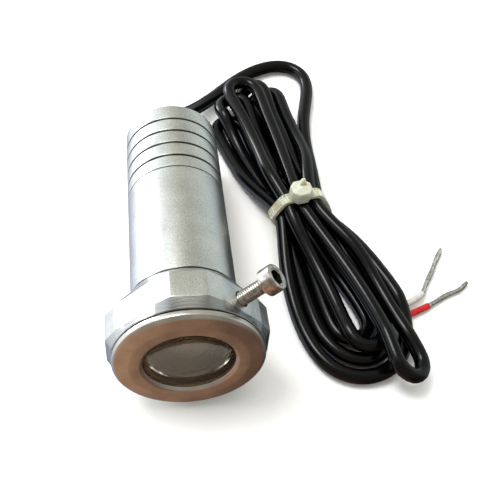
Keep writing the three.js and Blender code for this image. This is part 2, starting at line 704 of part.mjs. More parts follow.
/** The middles of the cord's runs where the tie holds them, across it and over the table. */
function tiedRuns() {
  const pitch = 2 * CORD_RADIUS - RUN_SQUEEZE;
  const lowest = WAIST_BOTTOM + CORD_RADIUS;
  const runs = [[LEAD_RUN, lowest]];
  RUN_ROWS.forEach(({ start, count }, row) => {
    for (let i = 0; i < count; i++) {
      runs.push([(start + i) * pitch, lowest + row * pitch * Math.sqrt(0.75)]);
    }
  });
  return runs;
}

/** A bar drawn tight round the runs, and thicker than them by the margin, along Y about 0. */
function waist(margin, length) {
  const corners = [];
  for (const [x, z] of tiedRuns()) {
    for (let i = 0; i < RUN_SIDES; i++) {
      const angle = (2 * Math.PI * i) / RUN_SIDES;
      const out = CORD_RADIUS + margin;
      for (const y of [-length / 2, length / 2]) {
        corners.push(new THREE.Vector3(x + out * Math.cos(angle), y, z + out * Math.sin(angle)));
      }
    }
  }
  return new ConvexGeometry(corners);
}

function tieStrap() {
  const room = box(TIE_HEAD.width + 2 * GAP, TIE_HEAD.length, TIE_HEAD.height + 2 * GAP);
  return cut(
    waist(STRAP_THICKNESS, STRAP_WIDTH),
    waist(0, STRAP_WIDTH + 1),
    room.translate(0, 0, tieHeadHeight()),
  );
}

const tieHeadHeight = () => {
  const top = Math.max(...tiedRuns().map(([, z]) => z)) + CORD_RADIUS;
  return top + GAP + TIE_HEAD.height / 2;
};

function tieHead() {
  const { width, length, height, chamfer } = TIE_HEAD;
  const corners = [];
  for (const x of [-1, 1]) {
    for (const y of [-1, 1]) {
      const outer = [(x * width) / 2, (y * length) / 2];
      const inner = [outer[0] - x * chamfer, outer[1] - y * chamfer];
      for (const z of [-height / 2, height / 2 - chamfer]) {
        corners.push(new THREE.Vector3(outer[0], inner[1], z));
        corners.push(new THREE.Vector3(inner[0], outer[1], z));
      }
      corners.push(new THREE.Vector3(...inner, height / 2));
    }
  }
  return new ConvexGeometry(corners);
}

function addCord(bench) {
  node("cord_lead", wire(LEAD_ROUTE, CORD_RADIUS, 26), BLACK_PVC, bench);
  const tied = new THREE.Group();
  tied.position.set(HANK_PLACE.x, HANK_PLACE.y, 0);
  tied.rotation.z = radians(HANK_TURN);
  bench.add(tied);
  node("cord_hank", hank(), BLACK_PVC, tied);
  node("tie_strap", tieStrap(), NATURAL_NYLON, tied);
  node("tie_head", tieHead(), NATURAL_NYLON, tied).position.z = tieHeadHeight();
  node("core_white", wire(WHITE_CORE_ROUTE, CORE_RADIUS, 5, 6), WHITE_PVC, bench);
  node("core_red", wire(RED_CORE_ROUTE, CORE_RADIUS, 5, 6), RED_PVC, bench);
  node("tinned_end_white", wire(WHITE_STRAND_ROUTE, STRAND_RADIUS, 10, 6), TINNED_COPPER, bench);
  node("tinned_end_red", wire(RED_STRAND_ROUTE, STRAND_RADIUS, 10, 6), TINNED_COPPER, bench);
}

// ---- The light, lying on its collar's lowest flat and its cap's rear rim ----
function makeLight() {
  const light = new THREE.Group();
  addCasing(light);
  addFront(light);
  addLightEngine(light);
  addDriver(light);
  addGland(light);
  node("clamp_screw", placeOnFlat(clampScrew()), STAINLESS, light);
  const rim = capRear - CAP_CHAMFER;
  const tilt = Math.atan2(narrowApothem - TUBE_RADIUS, rim - FLATS_REAR);
  light.rotation.x = -tilt;
  light.position.z = rim * Math.sin(tilt) + TUBE_RADIUS * Math.cos(tilt);
  return light;
}

const group = new THREE.Group();
const light = makeLight();
group.add(light);
const extent = new THREE.Box3().setFromObject(group, true);
const middle = extent.getCenter(new THREE.Vector3());
addCord(group);
group.position.set(-middle.x, -middle.y, 0);

export default group;
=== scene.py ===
"""An underwater pond light lying on a bench: a bead-blasted aluminium casing with a milled collar, a turned
bezel round a thick lens, a stainless clamp screw, and its black lead folded into a hank held by a cable tie.

Sizes in this file are millimetres, and MM turns them to the scene's metres. The light's own frame has its
axis along Y, the lens towards -Y and 0 just behind the collar. LIGHT takes it to where the casing lies.
"""
import json
import math

import bmesh
import bpy
import numpy as np
from mathutils import Matrix, Vector


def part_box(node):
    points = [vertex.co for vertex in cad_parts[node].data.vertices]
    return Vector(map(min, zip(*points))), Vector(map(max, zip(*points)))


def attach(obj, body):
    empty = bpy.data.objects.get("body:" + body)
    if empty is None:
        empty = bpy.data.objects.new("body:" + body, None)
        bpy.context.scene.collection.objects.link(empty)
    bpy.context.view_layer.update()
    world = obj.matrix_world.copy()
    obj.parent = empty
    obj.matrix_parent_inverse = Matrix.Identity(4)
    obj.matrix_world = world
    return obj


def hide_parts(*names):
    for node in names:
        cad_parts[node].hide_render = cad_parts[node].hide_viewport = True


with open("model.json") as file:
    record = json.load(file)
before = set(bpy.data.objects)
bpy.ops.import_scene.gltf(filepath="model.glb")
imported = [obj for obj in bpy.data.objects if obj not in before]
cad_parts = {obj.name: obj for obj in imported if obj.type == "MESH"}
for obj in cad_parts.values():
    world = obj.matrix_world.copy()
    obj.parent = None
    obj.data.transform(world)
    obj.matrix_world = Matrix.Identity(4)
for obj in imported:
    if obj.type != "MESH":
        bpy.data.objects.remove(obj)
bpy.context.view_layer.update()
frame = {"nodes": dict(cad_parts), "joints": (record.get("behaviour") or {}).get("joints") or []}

MM = 0.001

# ---- Sizes, as on the casing that the frame holds ----
TUBE_RADIUS, TUBE_WALL, TUBE_LENGTH, TUBE_INSERTION = 11, 1.6, 29.1, 4.5
GAP = 0.25
CAP_LENGTH, CAP_WALL, CAP_END_WALL, CAP_SPIGOT_LENGTH, CAP_SPIGOT_WALL = 21.7, 2.2, 3, 6, 2
GROOVES, GROOVE_PITCH, GROOVE_WIDTH, GROOVE_DEPTH, FIRST_GROOVE = 4, 4.2, 0.7, 0.45, 3.8
NARROW_FLAT, NARROW_HALF_ANGLE = 16.04, 12.2
WIDE_FLAT, WIDE_HALF_ANGLE = 14.5, 20.5
FLATS_REAR, FLATS_FRONT = -5.2, -11
COLLAR_REAR, COLLAR_FRONT, COLLAR_REAR_RADIUS = -1.2, -13.15, 12.1
BEZEL_RADIUS, BEZEL_FRONT, BEZEL_REAR = 15.05, -15.5, -13.4
WINDOW_RADIUS, LENS_RADIUS = 9, 10
LENS_FRONT, LENS_REAR, LENS_CROWN = -13.3, -10.8, 1.3
SCREW_PLACE, SCREW_ANGLE = -8, 45
SHANK_RADIUS, SHANK_TIP, SHANK_SHOWING = 1.5, -3, 6
HEAD_RADIUS, HEAD_LENGTH, SOCKET_FLATS, SOCKET_DEPTH = 2.75, 3, 2.9, 1.6
SCREW_HOLE_DEPTH, THREAD_PITCH, THREAD_DEPTH = 5.1, 0.5, 0.2
GLAND_RADIUS = 3.1
CORD_RADIUS, CORE_RADIUS = 1.7, 0.75
HANK_TURN = 13
SEGMENTS = 144
# Edges that turn by more degrees than this stay sharp. The collar's shallow flats need a smaller turn.
SHARP, COLLAR_SHARP = 32, 14

CAP_FRONT = TUBE_LENGTH + GAP
CAP_REAR = TUBE_LENGTH + CAP_LENGTH
SPIGOT_RADIUS = TUBE_RADIUS - TUBE_WALL - GAP
SHANK_HEAD = SHANK_SHOWING + HEAD_LENGTH

# ---- Places, from the frame ----
screw_axis = Vector(frame["joints"][0]["axis"])
TILT = math.atan2(screw_axis.y, screw_axis.z)
turn = Matrix.Rotation(-TILT, 4, "X")
tube_low, tube_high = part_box("body_tube")
tube_middle = Vector((0, (TUBE_LENGTH - TUBE_INSERTION) / 2 * MM, 0))
light_origin = (tube_low + tube_high) / 2 - turn @ tube_middle
LIGHT = Matrix.Translation(light_origin) @ turn
bench_origin = Vector((light_origin.x, light_origin.y, 0))
head_low, head_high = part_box("tie_head")
hank_origin = Vector(((head_low.x + head_high.x) / 2, (head_low.y + head_high.y) / 2, 0))
HANK = Matrix.Translation(hank_origin) @ Matrix.Rotation(math.radians(HANK_TURN), 4, "Z")


# ---- Camera ----
FOCAL_LENGTH, SENSOR_WIDTH, NEAREST_SEEN = 56.25, 36, 0.01
CAMERA_RIGHT = Vector((0.99002, -0.11303, 0.08419))
CAMERA_UP = Vector((0.04170, 0.80553, 0.59109))
CAMERA_PLACE = Vector((-7.894, -86.559, 151.917))


def add_camera():
    """A hand-held view from above the lens end, a little to the left of the light."""
    data = bpy.data.cameras.new("bench_camera")
    data.sensor_width = SENSOR_WIDTH
    data.lens = FOCAL_LENGTH
    data.clip_start = NEAREST_SEEN
    camera = bpy.data.objects.new("bench_camera", data)
    bpy.context.scene.collection.objects.link(camera)
    back = CAMERA_RIGHT.cross(CAMERA_UP)
    look = Matrix((CAMERA_RIGHT, CAMERA_UP, back)).transposed().to_4x4()
    camera.matrix_world = Matrix.Translation(bench_origin + CAMERA_PLACE * MM) @ look
    bpy.context.scene.camera = camera


# ---- Materials ----
def linear(code):
    """An sRGB hex colour as linear RGBA."""
    parts = [int(code[i:i + 2], 16) / 255 for i in (0, 2, 4)]
    return [c / 12.92 if c <= 0.04045 else ((c + 0.055) / 1.055) ** 2.4 for c in parts] + [1]


def add(tree, kind, feeds=None, **settings):
    """Adds one shader node with its settings. Each feed is a value or another node's output."""
    made = tree.nodes.new("ShaderNode" + kind)
    for name, value in settings.items():
        setattr(made, name, value)
    for name, value in (feeds or {}).items():
        if isinstance(value, bpy.types.NodeSocket):
            tree.links.new(value, made.inputs[name])
        else:
            made.inputs[name].default_value = value
    return made


def start(name, **sockets):
    """A material with a Principled shader, whose even values are set on the shader's own sockets."""
    material = bpy.data.materials.new(name)
    material.use_nodes = True
    tree = material.node_tree
    tree.nodes.clear()
    shader = add(tree, "BsdfPrincipled", {key.replace("_", " "): value for key, value in sockets.items()})
    add(tree, "OutputMaterial", {"Surface": shader.outputs[0]})
    return material, tree, shader


def light_coordinates(tree):
    """Object coordinates turned so that Y is the light's axis."""
    where = add(tree, "TexCoord").outputs["Object"]
    back = LIGHT.inverted()
    feeds = {"Vector": where, "Location": back.translation, "Rotation": back.to_euler()}
    return add(tree, "Mapping", feeds).outputs[0]


def shaded(tree, factor, dark, pale, low=0.3, high=0.7):
    """A colour that runs from dark to pale as the factor goes from low to high."""
    ramp = add(tree, "ValToRGB", {"Fac": factor})
    ramp.color_ramp.elements[0].position = low
    ramp.color_ramp.elements[1].position = high
    ramp.color_ramp.elements[0].color = linear(dark)
    ramp.color_ramp.elements[1].color = linear(pale)
    return ramp.outputs[0]


def even_finish(name, dark, pale, grain, relief, rough, drift=4, **sockets):
    """A finish whose shade drifts over a few millimetres and whose surface has a grain of a real size."""
    material, tree, shader = start(name, **sockets)
    where = add(tree, "TexCoord").outputs["Object"]
    cloud = add(tree, "TexNoise", {"Vector": where, "Scale": 1 / (drift * MM), "Detail": 3}).outputs[0]
    fine = add(tree, "TexNoise", {"Vector": where, "Scale": 1 / (grain * MM), "Detail": 4}).outputs[0]
    tree.links.new(shaded(tree, cloud, dark, pale), shader.inputs["Base Color"])
    low, high = rough
    feeds = {"Value": fine, "From Min": 0.3, "From Max": 0.7, "To Min": low, "To Max": high}
    spread = add(tree, "MapRange", feeds)
    tree.links.new(spread.outputs[0], shader.inputs["Roughness"])
    bump = add(tree, "Bump", {"Height": fine, "Distance": relief * MM, "Strength": 1})
    tree.links.new(bump.outputs[0], shader.inputs["Normal"])
    return material


def bead_blasted_aluminium():
    """Bead-blasted, clear-anodised aluminium: satin, with a fine sparkle from the blasted dimples. They are
    really about 0.05 mm across and are drawn at 0.22 mm, so that they still show."""
    material, tree, shader = start("bead_blasted_anodised_aluminium", Metallic=1)
    where = light_coordinates(tree)
    dimples = add(tree, "TexVoronoi", {"Vector": where, "Scale": 1 / (0.22 * MM)}).outputs["Distance"]
    sparkle = add(tree, "TexNoise", {"Vector": where, "Scale": 1 / (0.16 * MM), "Detail": 2}).outputs[0]
    cloud = add(tree, "TexNoise", {"Vector": where, "Scale": 1 / (6 * MM), "Detail": 4}).outputs[0]
    grain = shaded(tree, sparkle, "c2c4c5", "f6f6f4", 0.36, 0.66)
    tone = shaded(tree, cloud, "e4e5e3", "fafaf8")
    colour = add(tree, "Mix", {"Factor": 1.0, 6: grain, 7: tone}, data_type="RGBA", blend_type="MULTIPLY")
    tree.links.new(colour.outputs[2], shader.inputs["Base Color"])
    rough = add(tree, "MapRange", {"Value": cloud, "To Min": 0.27, "To Max": 0.37})
    tree.links.new(rough.outputs[0], shader.inputs["Roughness"])
    bump = add(tree, "Bump", {"Height": dimples, "Distance": 0.008 * MM, "Strength": 0.8})
    tree.links.new(bump.outputs[0], shader.inputs["Normal"])
    return material


def turned_aluminium(name, dark, pale, pitch, relief, rough):
    """Aluminium faced on a lathe: fine rings about the axis that pull highlights into arcs. The feed is
    really about 0.08 mm, and the rings are drawn wider, so that they still show."""
    material, tree, shader = start(name, Metallic=1)
    where = light_coordinates(tree)
    rings = add(
        tree, "TexWave",
        {"Vector": where, "Scale": math.pi / (10 * pitch * MM), "Distortion": 0.6, "Detail": 2},
        wave_type="RINGS", rings_direction="Y",
    ).outputs[1]
    cloud = add(tree, "TexNoise", {"Vector": where, "Scale": 1 / (5 * MM), "Detail": 4}).outputs[0]
    tree.links.new(shaded(tree, cloud, dark, pale), shader.inputs["Base Color"])
    low, high = rough
    spread = add(tree, "MapRange", {"Value": rings, "To Min": low, "To Max": high})
    tree.links.new(spread.outputs[0], shader.inputs["Roughness"])
    bump = add(tree, "Bump", {"Height": rings, "Distance": relief * MM, "Strength": 0.6})
    tree.links.new(bump.outputs[0], shader.inputs["Normal"])
    return material


def pressed_glass():
    """Pressed optical glass with a faint straw tint: clear, with ripples left by the mould."""
    material, tree, shader = start(
        "pressed_optical_glass",
        Transmission_Weight=1.0, IOR=1.5, Roughness=0.015, Base_Color=linear("fdf7e8"),
    )
    where = light_coordinates(tree)
    ripple = add(tree, "TexNoise", {"Vector": where, "Scale": 1 / (2.5 * MM), "Detail": 2}).outputs[0]
    bump = add(tree, "Bump", {"Height": ripple, "Distance": 0.05 * MM, "Strength": 0.5})
    tree.links.new(bump.outputs[0], shader.inputs["Normal"])
    return material


def cable_pvc():
    """Extruded black PVC: a semi-gloss skin with a slow waviness and a little dust."""
    material, tree, shader = start("extruded_black_pvc", Specular_IOR_Level=0.24)
    where = add(tree, "TexCoord").outputs["Object"]
    dust = add(tree, "TexNoise", {"Vector": where, "Scale": 1 / (0.5 * MM), "Detail": 6}).outputs[0]
    wave = add(tree, "TexNoise", {"Vector": where, "Scale": 1 / (2.2 * MM), "Detail": 2}).outputs[0]
    tree.links.new(shaded(tree, dust, "020203", "0c0d10", 0.55, 0.9), shader.inputs["Base Color"])
    feeds = {"Value": dust, "From Min": 0.3, "From Max": 0.75, "To Min": 0.16, "To Max": 0.26}
    rough = add(tree, "MapRange", feeds)
    tree.links.new(rough.outputs[0], shader.inputs["Roughness"])
    bump = add(tree, "Bump", {"Height": wave, "Distance": 0.05 * MM, "Strength": 0.4})
    tree.links.new(bump.outputs[0], shader.inputs["Normal"])
    return material


def moulded_nylon():
    """Natural nylon 66: milky and faintly yellow, soft-edged in the light that passes through it."""
    material, tree, shader = start(
        "moulded_natural_nylon",
        Subsurface_Weight=0.3, Subsurface_Scale=0.8 * MM, IOR=1.53,
    )
    where = add(tree, "TexCoord").outputs["Object"]
    cloud = add(tree, "TexNoise", {"Vector": where, "Scale": 1 / (1.6 * MM), "Detail": 3}).outputs[0]
    fine = add(tree, "TexNoise", {"Vector": where, "Scale": 1 / (0.3 * MM), "Detail": 3}).outputs[0]
    tree.links.new(shaded(tree, cloud, "b4b393", "c9ccbe", 0.36, 0.62), shader.inputs["Base Color"])
    rough = add(tree, "MapRange", {"Value": fine, "To Min": 0.26, "To Max": 0.42})
    tree.links.new(rough.outputs[0], shader.inputs["Roughness"])
    bump = add(tree, "Bump", {"Height": cloud, "Distance": 0.2 * MM, "Strength": 0.5})
    tree.links.new(bump.outputs[0], shader.inputs["Normal"])
    return material


def make_materials():
    """Every finish by the name of its slot, or by its own name where a slot has more than one."""
    finishes = {
        "anodised_aluminium": bead_blasted_aluminium(),
        "turned_aluminium": turned_aluminium(
            "turned_bezel_aluminium", "b5afa8", "d6d1ca", 0.24, 0.006, (0.24, 0.36)),
        "lens_glass": pressed_glass(),
        "black_pvc": cable_pvc(),
        "natural_nylon": moulded_nylon(),
    }
    finishes["heat_spreader"] = turned_aluminium(
        "turned_slug_aluminium", "b5b6b6", "d0d1d0", 0.3, 0.01, (0.3, 0.42))
    # Vacuum-coated, polished reflector, its colour a painted shade: a dim warm brown down behind the lens,
    # with hardly any grain.
    finishes["bright_reflector"] = even_finish(
        "reflector_painted_shade", "382b21", "6b573e", 0.9, 0.004, (0.06, 0.12), Metallic=1)
    # The lens's ground edge, with a painted glow: a straw-yellow metallic colour for the light it gathers
    # through the glass.
    finishes["ground_edge"] = even_finish(
        "lens_edge_painted_glow", "b3a263", "ded19a", 0.3, 0.02, (0.22, 0.4), drift=1.5, Metallic=0.7)
    # The lathe-cut taper between the flats and the bezel, smoother than the blasted faces; darker by painted
    # reflection.
    finishes["turned_taper"] = turned_aluminium(
        "turned_collar_taper_painted_dark", "97989a", "b3b3b1", 0.3, 0.003, (0.26, 0.36))
    # Painted shade: the grip grooves' floors and the screw hole's walls, painted dark where shade falls in
    # them.
    finishes["turned_groove"] = turned_aluminium(
        "turned_recess_painted_shade", "5d5d5c", "757472", 0.3, 0.004, (0.34, 0.46))
    # Cold-headed A2 stainless, tumbled: bright, with a soft ripple and duller patches.
    finishes["stainless_steel"] = even_finish(
        "tumbled_stainless_steel", "8e8882", "d8d4ce", 0.35, 0.012, (0.1, 0.24), drift=0.8, Metallic=1)
    # The screw's punched socket, whose walls are dull and painted dark as painted shade down in the hole.
    finishes["socket_steel"] = even_finish(
        "punched_socket_steel", "2b2a27", "5a5750", 0.3, 0.01, (0.3, 0.5), drift=0.7, Metallic=1)
    # Machined brass, dulled by handling.
    finishes["gland_brass"] = even_finish(
        "machined_brass", "a9884c", "c4a566", 0.4, 0.006, (0.24, 0.4), Metallic=1)
    # Moulded nitrile rubber: dead black, with a dusty bloom.
    finishes["seal_rubber"] = even_finish(
        "moulded_nitrile_rubber", "0b0b0c", "191919", 0.25, 0.02, (0.6, 0.85), drift=1.5)
    # Extruded core insulation: smooth, with a slight waviness.
    finishes["white_pvc"] = even_finish(
        "extruded_white_pvc", "b4b1a9", "d2cfc8", 0.6, 0.03, (0.3, 0.42), drift=1.2)
    finishes["red_pvc"] = even_finish(
        "extruded_red_pvc", "a5121a", "c9252a", 0.6, 0.03, (0.28, 0.4), drift=1.2)
    # Hot-tinned copper: silvery, with lumps of solder and a dull skin.
    finishes["tinned_copper"] = even_finish(
        "hot_tinned_copper", "77746e", "c2bfb9", 0.35, 0.05, (0.25, 0.45), drift=0.6, Metallic=0.9)
    # Glass-epoxy laminate under a green solder mask: the weave shows as a faint mottle.
    finishes["green_laminate"] = even_finish(
        "solder_masked_laminate", "174a2d", "246a40", 0.5, 0.01, (0.28, 0.45), drift=1)
    # White solder mask on an aluminium board: chalky, slightly uneven.
    finishes["white_board"] = even_finish(
        "white_solder_mask", "d8d8d2", "efefea", 0.4, 0.01, (0.4, 0.55), drift=2)
    # Phosphor in clear silicone: a grainy yellow.
    finishes["led_phosphor"] = even_finish(
        "phosphor_in_silicone", "d8b12c", "efd060", 0.12, 0.01, (0.35, 0.55), drift=0.5)
    # Moulded black epoxy of the driver's parts: matt, with a fine spark-eroded texture.
    finishes["black_epoxy"] = even_finish(
        "moulded_black_epoxy", "17171a", "27272a", 0.15, 0.01, (0.45, 0.65), drift=1)
    return finishes


# ---- Making pieces ----
def piece(name, bm, material, place=LIGHT, sharp=SHARP):
    """An object at the origin, whose place is in its mesh."""
    mesh = bpy.data.meshes.new(name)
    bm.transform(place)
    bm.to_mesh(mesh)
    bm.free()
    mesh.materials.append(material)
    mesh.shade_smooth()
    mesh.set_sharp_from_angle(angle=math.radians(sharp))
    made = bpy.data.objects.new(name, mesh)
    bpy.context.scene.collection.objects.link(made)
    return made


def rounded(corners, steps=3):
    """An outline of (radius, place, rounding) corners, with each rounded corner drawn as a short curve."""
    points = []
    for i, (radius, place, rounding) in enumerate(corners):
        here = Vector((radius, place))
        if not rounding:
            points.append(tuple(here))
            continue
        towards = [(Vector(corners[k][:2]) - here).normalized() for k in (i - 1, (i + 1) % len(corners))]
        ends = [here + side * rounding for side in towards]
        for k in range(steps + 1):
            t = k / steps
            points.append(tuple((1 - t) ** 2 * ends[0] + 2 * t * (1 - t) * here + t ** 2 * ends[1]))
    return points


def lathe(profile, segments=SEGMENTS):
    """A profile of (radius, place) points, spun once round Y. It closes on itself or on the axis."""
    bm = bmesh.new()
    points = [bm.verts.new((radius * MM, place * MM, 0)) for radius, place in profile]
    for a, b in zip(points, points[1:]):
        bm.edges.new((a, b))
    if profile[0][0] or profile[-1][0]:
        bm.edges.new((points[-1], points[0]))
    bmesh.ops.spin(
        bm, geom=bm.verts[:] + bm.edges[:], cent=(0, 0, 0), axis=(0, 1, 0), angle=2 * math.pi,
        steps=segments, use_merge=True,
    )
    bmesh.ops.remove_doubles(bm, verts=bm.verts[:], dist=1e-7)
    bmesh.ops.recalc_face_normals(bm, faces=bm.faces[:])
    return bm


def carve(body, cutter):
    """Cuts one closed piece out of another, whose walls get the cutter's finish, and removes the cutter."""
    modifier = body.modifiers.new("carve", "BOOLEAN")
    modifier.operation = "DIFFERENCE"
    modifier.solver = "EXACT"
    modifier.material_mode = "TRANSFER"
    modifier.object = cutter
    graph = bpy.context.evaluated_depsgraph_get()
    carved = bpy.data.meshes.new_from_object(body.evaluated_get(graph))
    body.modifiers.clear()
    body.data = carved
    carved.set_sharp_from_angle(angle=math.radians(SHARP))
    bpy.data.objects.remove(cutter)


def on_screw_flat():
    """The place on the collar's flat where the screw goes in, with Y pointing outwards."""
    angle = math.radians(SCREW_ANGLE)
    outwards = Vector((math.sin(angle), 0, math.cos(angle)))
    place = outwards * WIDE_FLAT * MM + Vector((0, SCREW_PLACE * MM, 0))
    spin = Vector((0, 1, 0)).rotation_difference(outwards).to_matrix().to_4x4()
    return LIGHT @ Matrix.Translation(place) @ spin


# ---- Casing ----
def make_tube(material):
    bore = TUBE_RADIUS - TUBE_WALL
    profile = rounded([
        (bore, -TUBE_INSERTION, 0.15), (TUBE_RADIUS, -TUBE_INSERTION, 0.3),
        (TUBE_RADIUS, TUBE_LENGTH, 0.14), (bore, TUBE_LENGTH, 0.15),
    ])
    return piece("casing_tube", lathe(profile), material)


def make_rear_cap(material, groove):
    """The rear shell with its spigot, four rounded grip grooves and a softened rear rim."""
    spigot_front = CAP_FRONT - CAP_SPIGOT_LENGTH
    spigot_bore = SPIGOT_RADIUS - CAP_SPIGOT_WALL
    corners = [
        (spigot_bore, spigot_front, 0.1), (SPIGOT_RADIUS, spigot_front, 0.1),
        (SPIGOT_RADIUS, CAP_FRONT, 0), (TUBE_RADIUS, CAP_FRONT, 0.14),
    ]
    for i in range(GROOVES):
        front = TUBE_LENGTH + FIRST_GROOVE + i * GROOVE_PITCH - GROOVE_WIDTH / 2
        for radius, share in ((0, 0), (GROOVE_DEPTH, 0.2), (GROOVE_DEPTH, 0.8), (0, 1)):
            corners.append((TUBE_RADIUS - radius, front + share * GROOVE_WIDTH, 0.09))
    gland_hole = GLAND_RADIUS + GAP
    rim = 0.7
    corners += [
        (TUBE_RADIUS, CAP_REAR - rim, 0.3), (TUBE_RADIUS - rim, CAP_REAR, 0.3),
        (gland_hole, CAP_REAR, 0.15), (gland_hole, CAP_REAR - CAP_END_WALL, 0),
        (TUBE_RADIUS - CAP_WALL, CAP_REAR - CAP_END_WALL, 0.5),
        (TUBE_RADIUS - CAP_WALL, CAP_FRONT + CAP_WALL, 0.4), (spigot_bore, CAP_FRONT, 0.2),
    ]
    bm = lathe(rounded(corners))
    # Faces in the grip grooves take the second finish, painted shade.
    for face in bm.faces:
        middle = face.calc_center_median()
        radius = math.hypot(middle.x, middle.z)
        in_groove = (TUBE_RADIUS - GROOVE_DEPTH - 0.1) * MM < radius < (TUBE_RADIUS - 0.08) * MM
        face.material_index = int(in_groove and CAP_FRONT * MM < middle.y < (CAP_REAR - 1) * MM)
    shell = piece("rear_shell", bm, material)
    shell.data.materials.append(groove)
    return shell


def make_collar_seal(material):
    """The black seal that squeezes out unevenly between the tube and the collar."""
    outer, inner = 11.58, 11.06
    profile = rounded([
        (inner, -1.8, 0.1), (outer, -1.8, 0.1), (outer, -1.15, 0), (outer + 0.3, -0.95, 0.1),
        (outer + 0.1, -0.5, 0.15), (inner, -0.4, 0.1),
    ])
    bm = lathe(profile)
    for corner in bm.verts:
        if corner.co.y > -0.8 * MM:
            angle = math.atan2(corner.co.x, corner.co.z)
            swell = 0.14 * math.cos(angle - 0.2) + 0.07 * math.sin(5 * angle) + 0.05 * math.sin(13 * angle)
            corner.co.y += max(0, swell) * MM
    return piece("squeezed_seal", bm, material)


def collar_outline():
    """The corners of the collar's flats as angles from the top and radii."""
    for quarter in range(0, 360, 90):
        for middle, half, apothem in (
            (quarter, NARROW_HALF_ANGLE, NARROW_FLAT), (quarter + 45, WIDE_HALF_ANGLE, WIDE_FLAT),
        ):
            for angle in (middle - half, middle + half):
                yield math.radians(angle), apothem / math.cos(math.radians(half))


def make_collar(material, taper, hole_shade):
    """The milled collar: a loop of flats drawn along the axis, then shaped to circles before and behind."""
    bm = bmesh.new()
    flat_loop = [
        bm.verts.new((radius * math.sin(angle) * MM, FLATS_REAR * MM, radius * math.cos(angle) * MM))
        for angle, radius in collar_outline()
    ]
    edges = [bm.edges.new(pair) for pair in zip(flat_loop, flat_loop[1:] + flat_loop[:1])]
    bmesh.ops.subdivide_edges(bm, edges=edges, cuts=5, use_grid_fill=False)
    first = set(bm.verts)
    recess, lens_seat, bore, tube_seat, seal_seat = 13.25, 10.25, 8.6, 11.25, 11.65
    recess_floor, lens_floor, tube_floor, seal_floor = -11, -9.75, -4.75, -1.9
    stops = [
        (None, FLATS_FRONT), (BEZEL_RADIUS, COLLAR_FRONT), (recess, COLLAR_FRONT), (recess, recess_floor),
        (lens_seat, recess_floor), (lens_seat, lens_floor), (bore, lens_floor), (bore, tube_floor),
        (tube_seat, tube_floor), (tube_seat, seal_floor), (seal_seat, seal_floor),
        (seal_seat, COLLAR_REAR), (COLLAR_REAR_RADIUS, COLLAR_REAR),
    ]
    loop = bm.edges[:]
    for radius, place in stops:
        made = bmesh.ops.extrude_edge_only(bm, edges=loop)["geom"]
        loop = [item for item in made if isinstance(item, bmesh.types.BMEdge)]
        corners = {corner for edge in loop for corner in edge.verts}
        loop = [edge for edge in loop if all(corner in corners for corner in edge.verts)]
        for corner in corners:
            if radius:
                scale = radius * MM / math.hypot(corner.co.x, corner.co.z)
                corner.co.x *= scale
                corner.co.z *= scale
            corner.co.y = place * MM
    start_loop = [edge for edge in bm.edges if all(corner in first for corner in edge.verts)]
    bmesh.ops.bridge_loops(bm, edges=loop + start_loop)
    bmesh.ops.recalc_face_normals(bm, faces=bm.faces[:])
    crisp = [
        edge for edge in bm.edges
        if len(edge.link_faces) == 2 and edge.calc_face_angle() > math.radians(11)
        and min(math.hypot(corner.co.x, corner.co.z) for corner in edge.verts) > 11.9 * MM
    ]
    bmesh.ops.bevel(
        bm, geom=crisp, offset=0.13 * MM, offset_type="OFFSET", affect="EDGES", segments=2, profile=0.5,
        material=-1, clamp_overlap=True,
    )
    # Faces of the front taper take the second finish, painted darker as a painted reflection.
    for face in bm.faces:
        middle = face.calc_center_median()
        radius = math.hypot(middle.x, middle.z)
        face.material_index = int(middle.y < (FLATS_FRONT - 0.1) * MM and radius > 13.4 * MM)
    collar = piece("milled_collar", bm, material, sharp=COLLAR_SHARP)
    collar.data.materials.append(taper)
    # The screw hole's walls take the cutter's finish, painted shade.
    hole_radius, above = SHANK_RADIUS + GAP, 2
    hole = lathe(
        [(0, -SCREW_HOLE_DEPTH), (hole_radius, -SCREW_HOLE_DEPTH), (hole_radius, above), (0, above)], 48)
    carve(collar, piece("screw_hole_cutter", hole, hole_shade, on_screw_flat()))
    collar.data.set_sharp_from_angle(angle=math.radians(COLLAR_SHARP))
    return collar


def make_bezel(material):
    """The turned front ring: a bevelled window, a flat inner face and one that falls back to a round rim."""
    profile = rounded([
        (WINDOW_RADIUS, BEZEL_FRONT + 0.6, 0.12), (WINDOW_RADIUS + 0.6, BEZEL_FRONT, 0.2),
        (11.8, BEZEL_FRONT, 0.12), (14.35, BEZEL_FRONT + 0.32, 0.25), (BEZEL_RADIUS, BEZEL_FRONT + 0.95, 0.3),
        (BEZEL_RADIUS, BEZEL_REAR - 0.1, 0.2), (BEZEL_RADIUS - 0.35, BEZEL_REAR, 0.1), (13, BEZEL_REAR, 0),
        (13, BEZEL_REAR + 2.15, 0.15), (10.25, BEZEL_REAR + 2.15, 0.1), (10.25, BEZEL_FRONT + 1.1, 0),
        (WINDOW_RADIUS, BEZEL_FRONT + 1.1, 0),
    ])
    return piece("turned_bezel", lathe(profile), material)


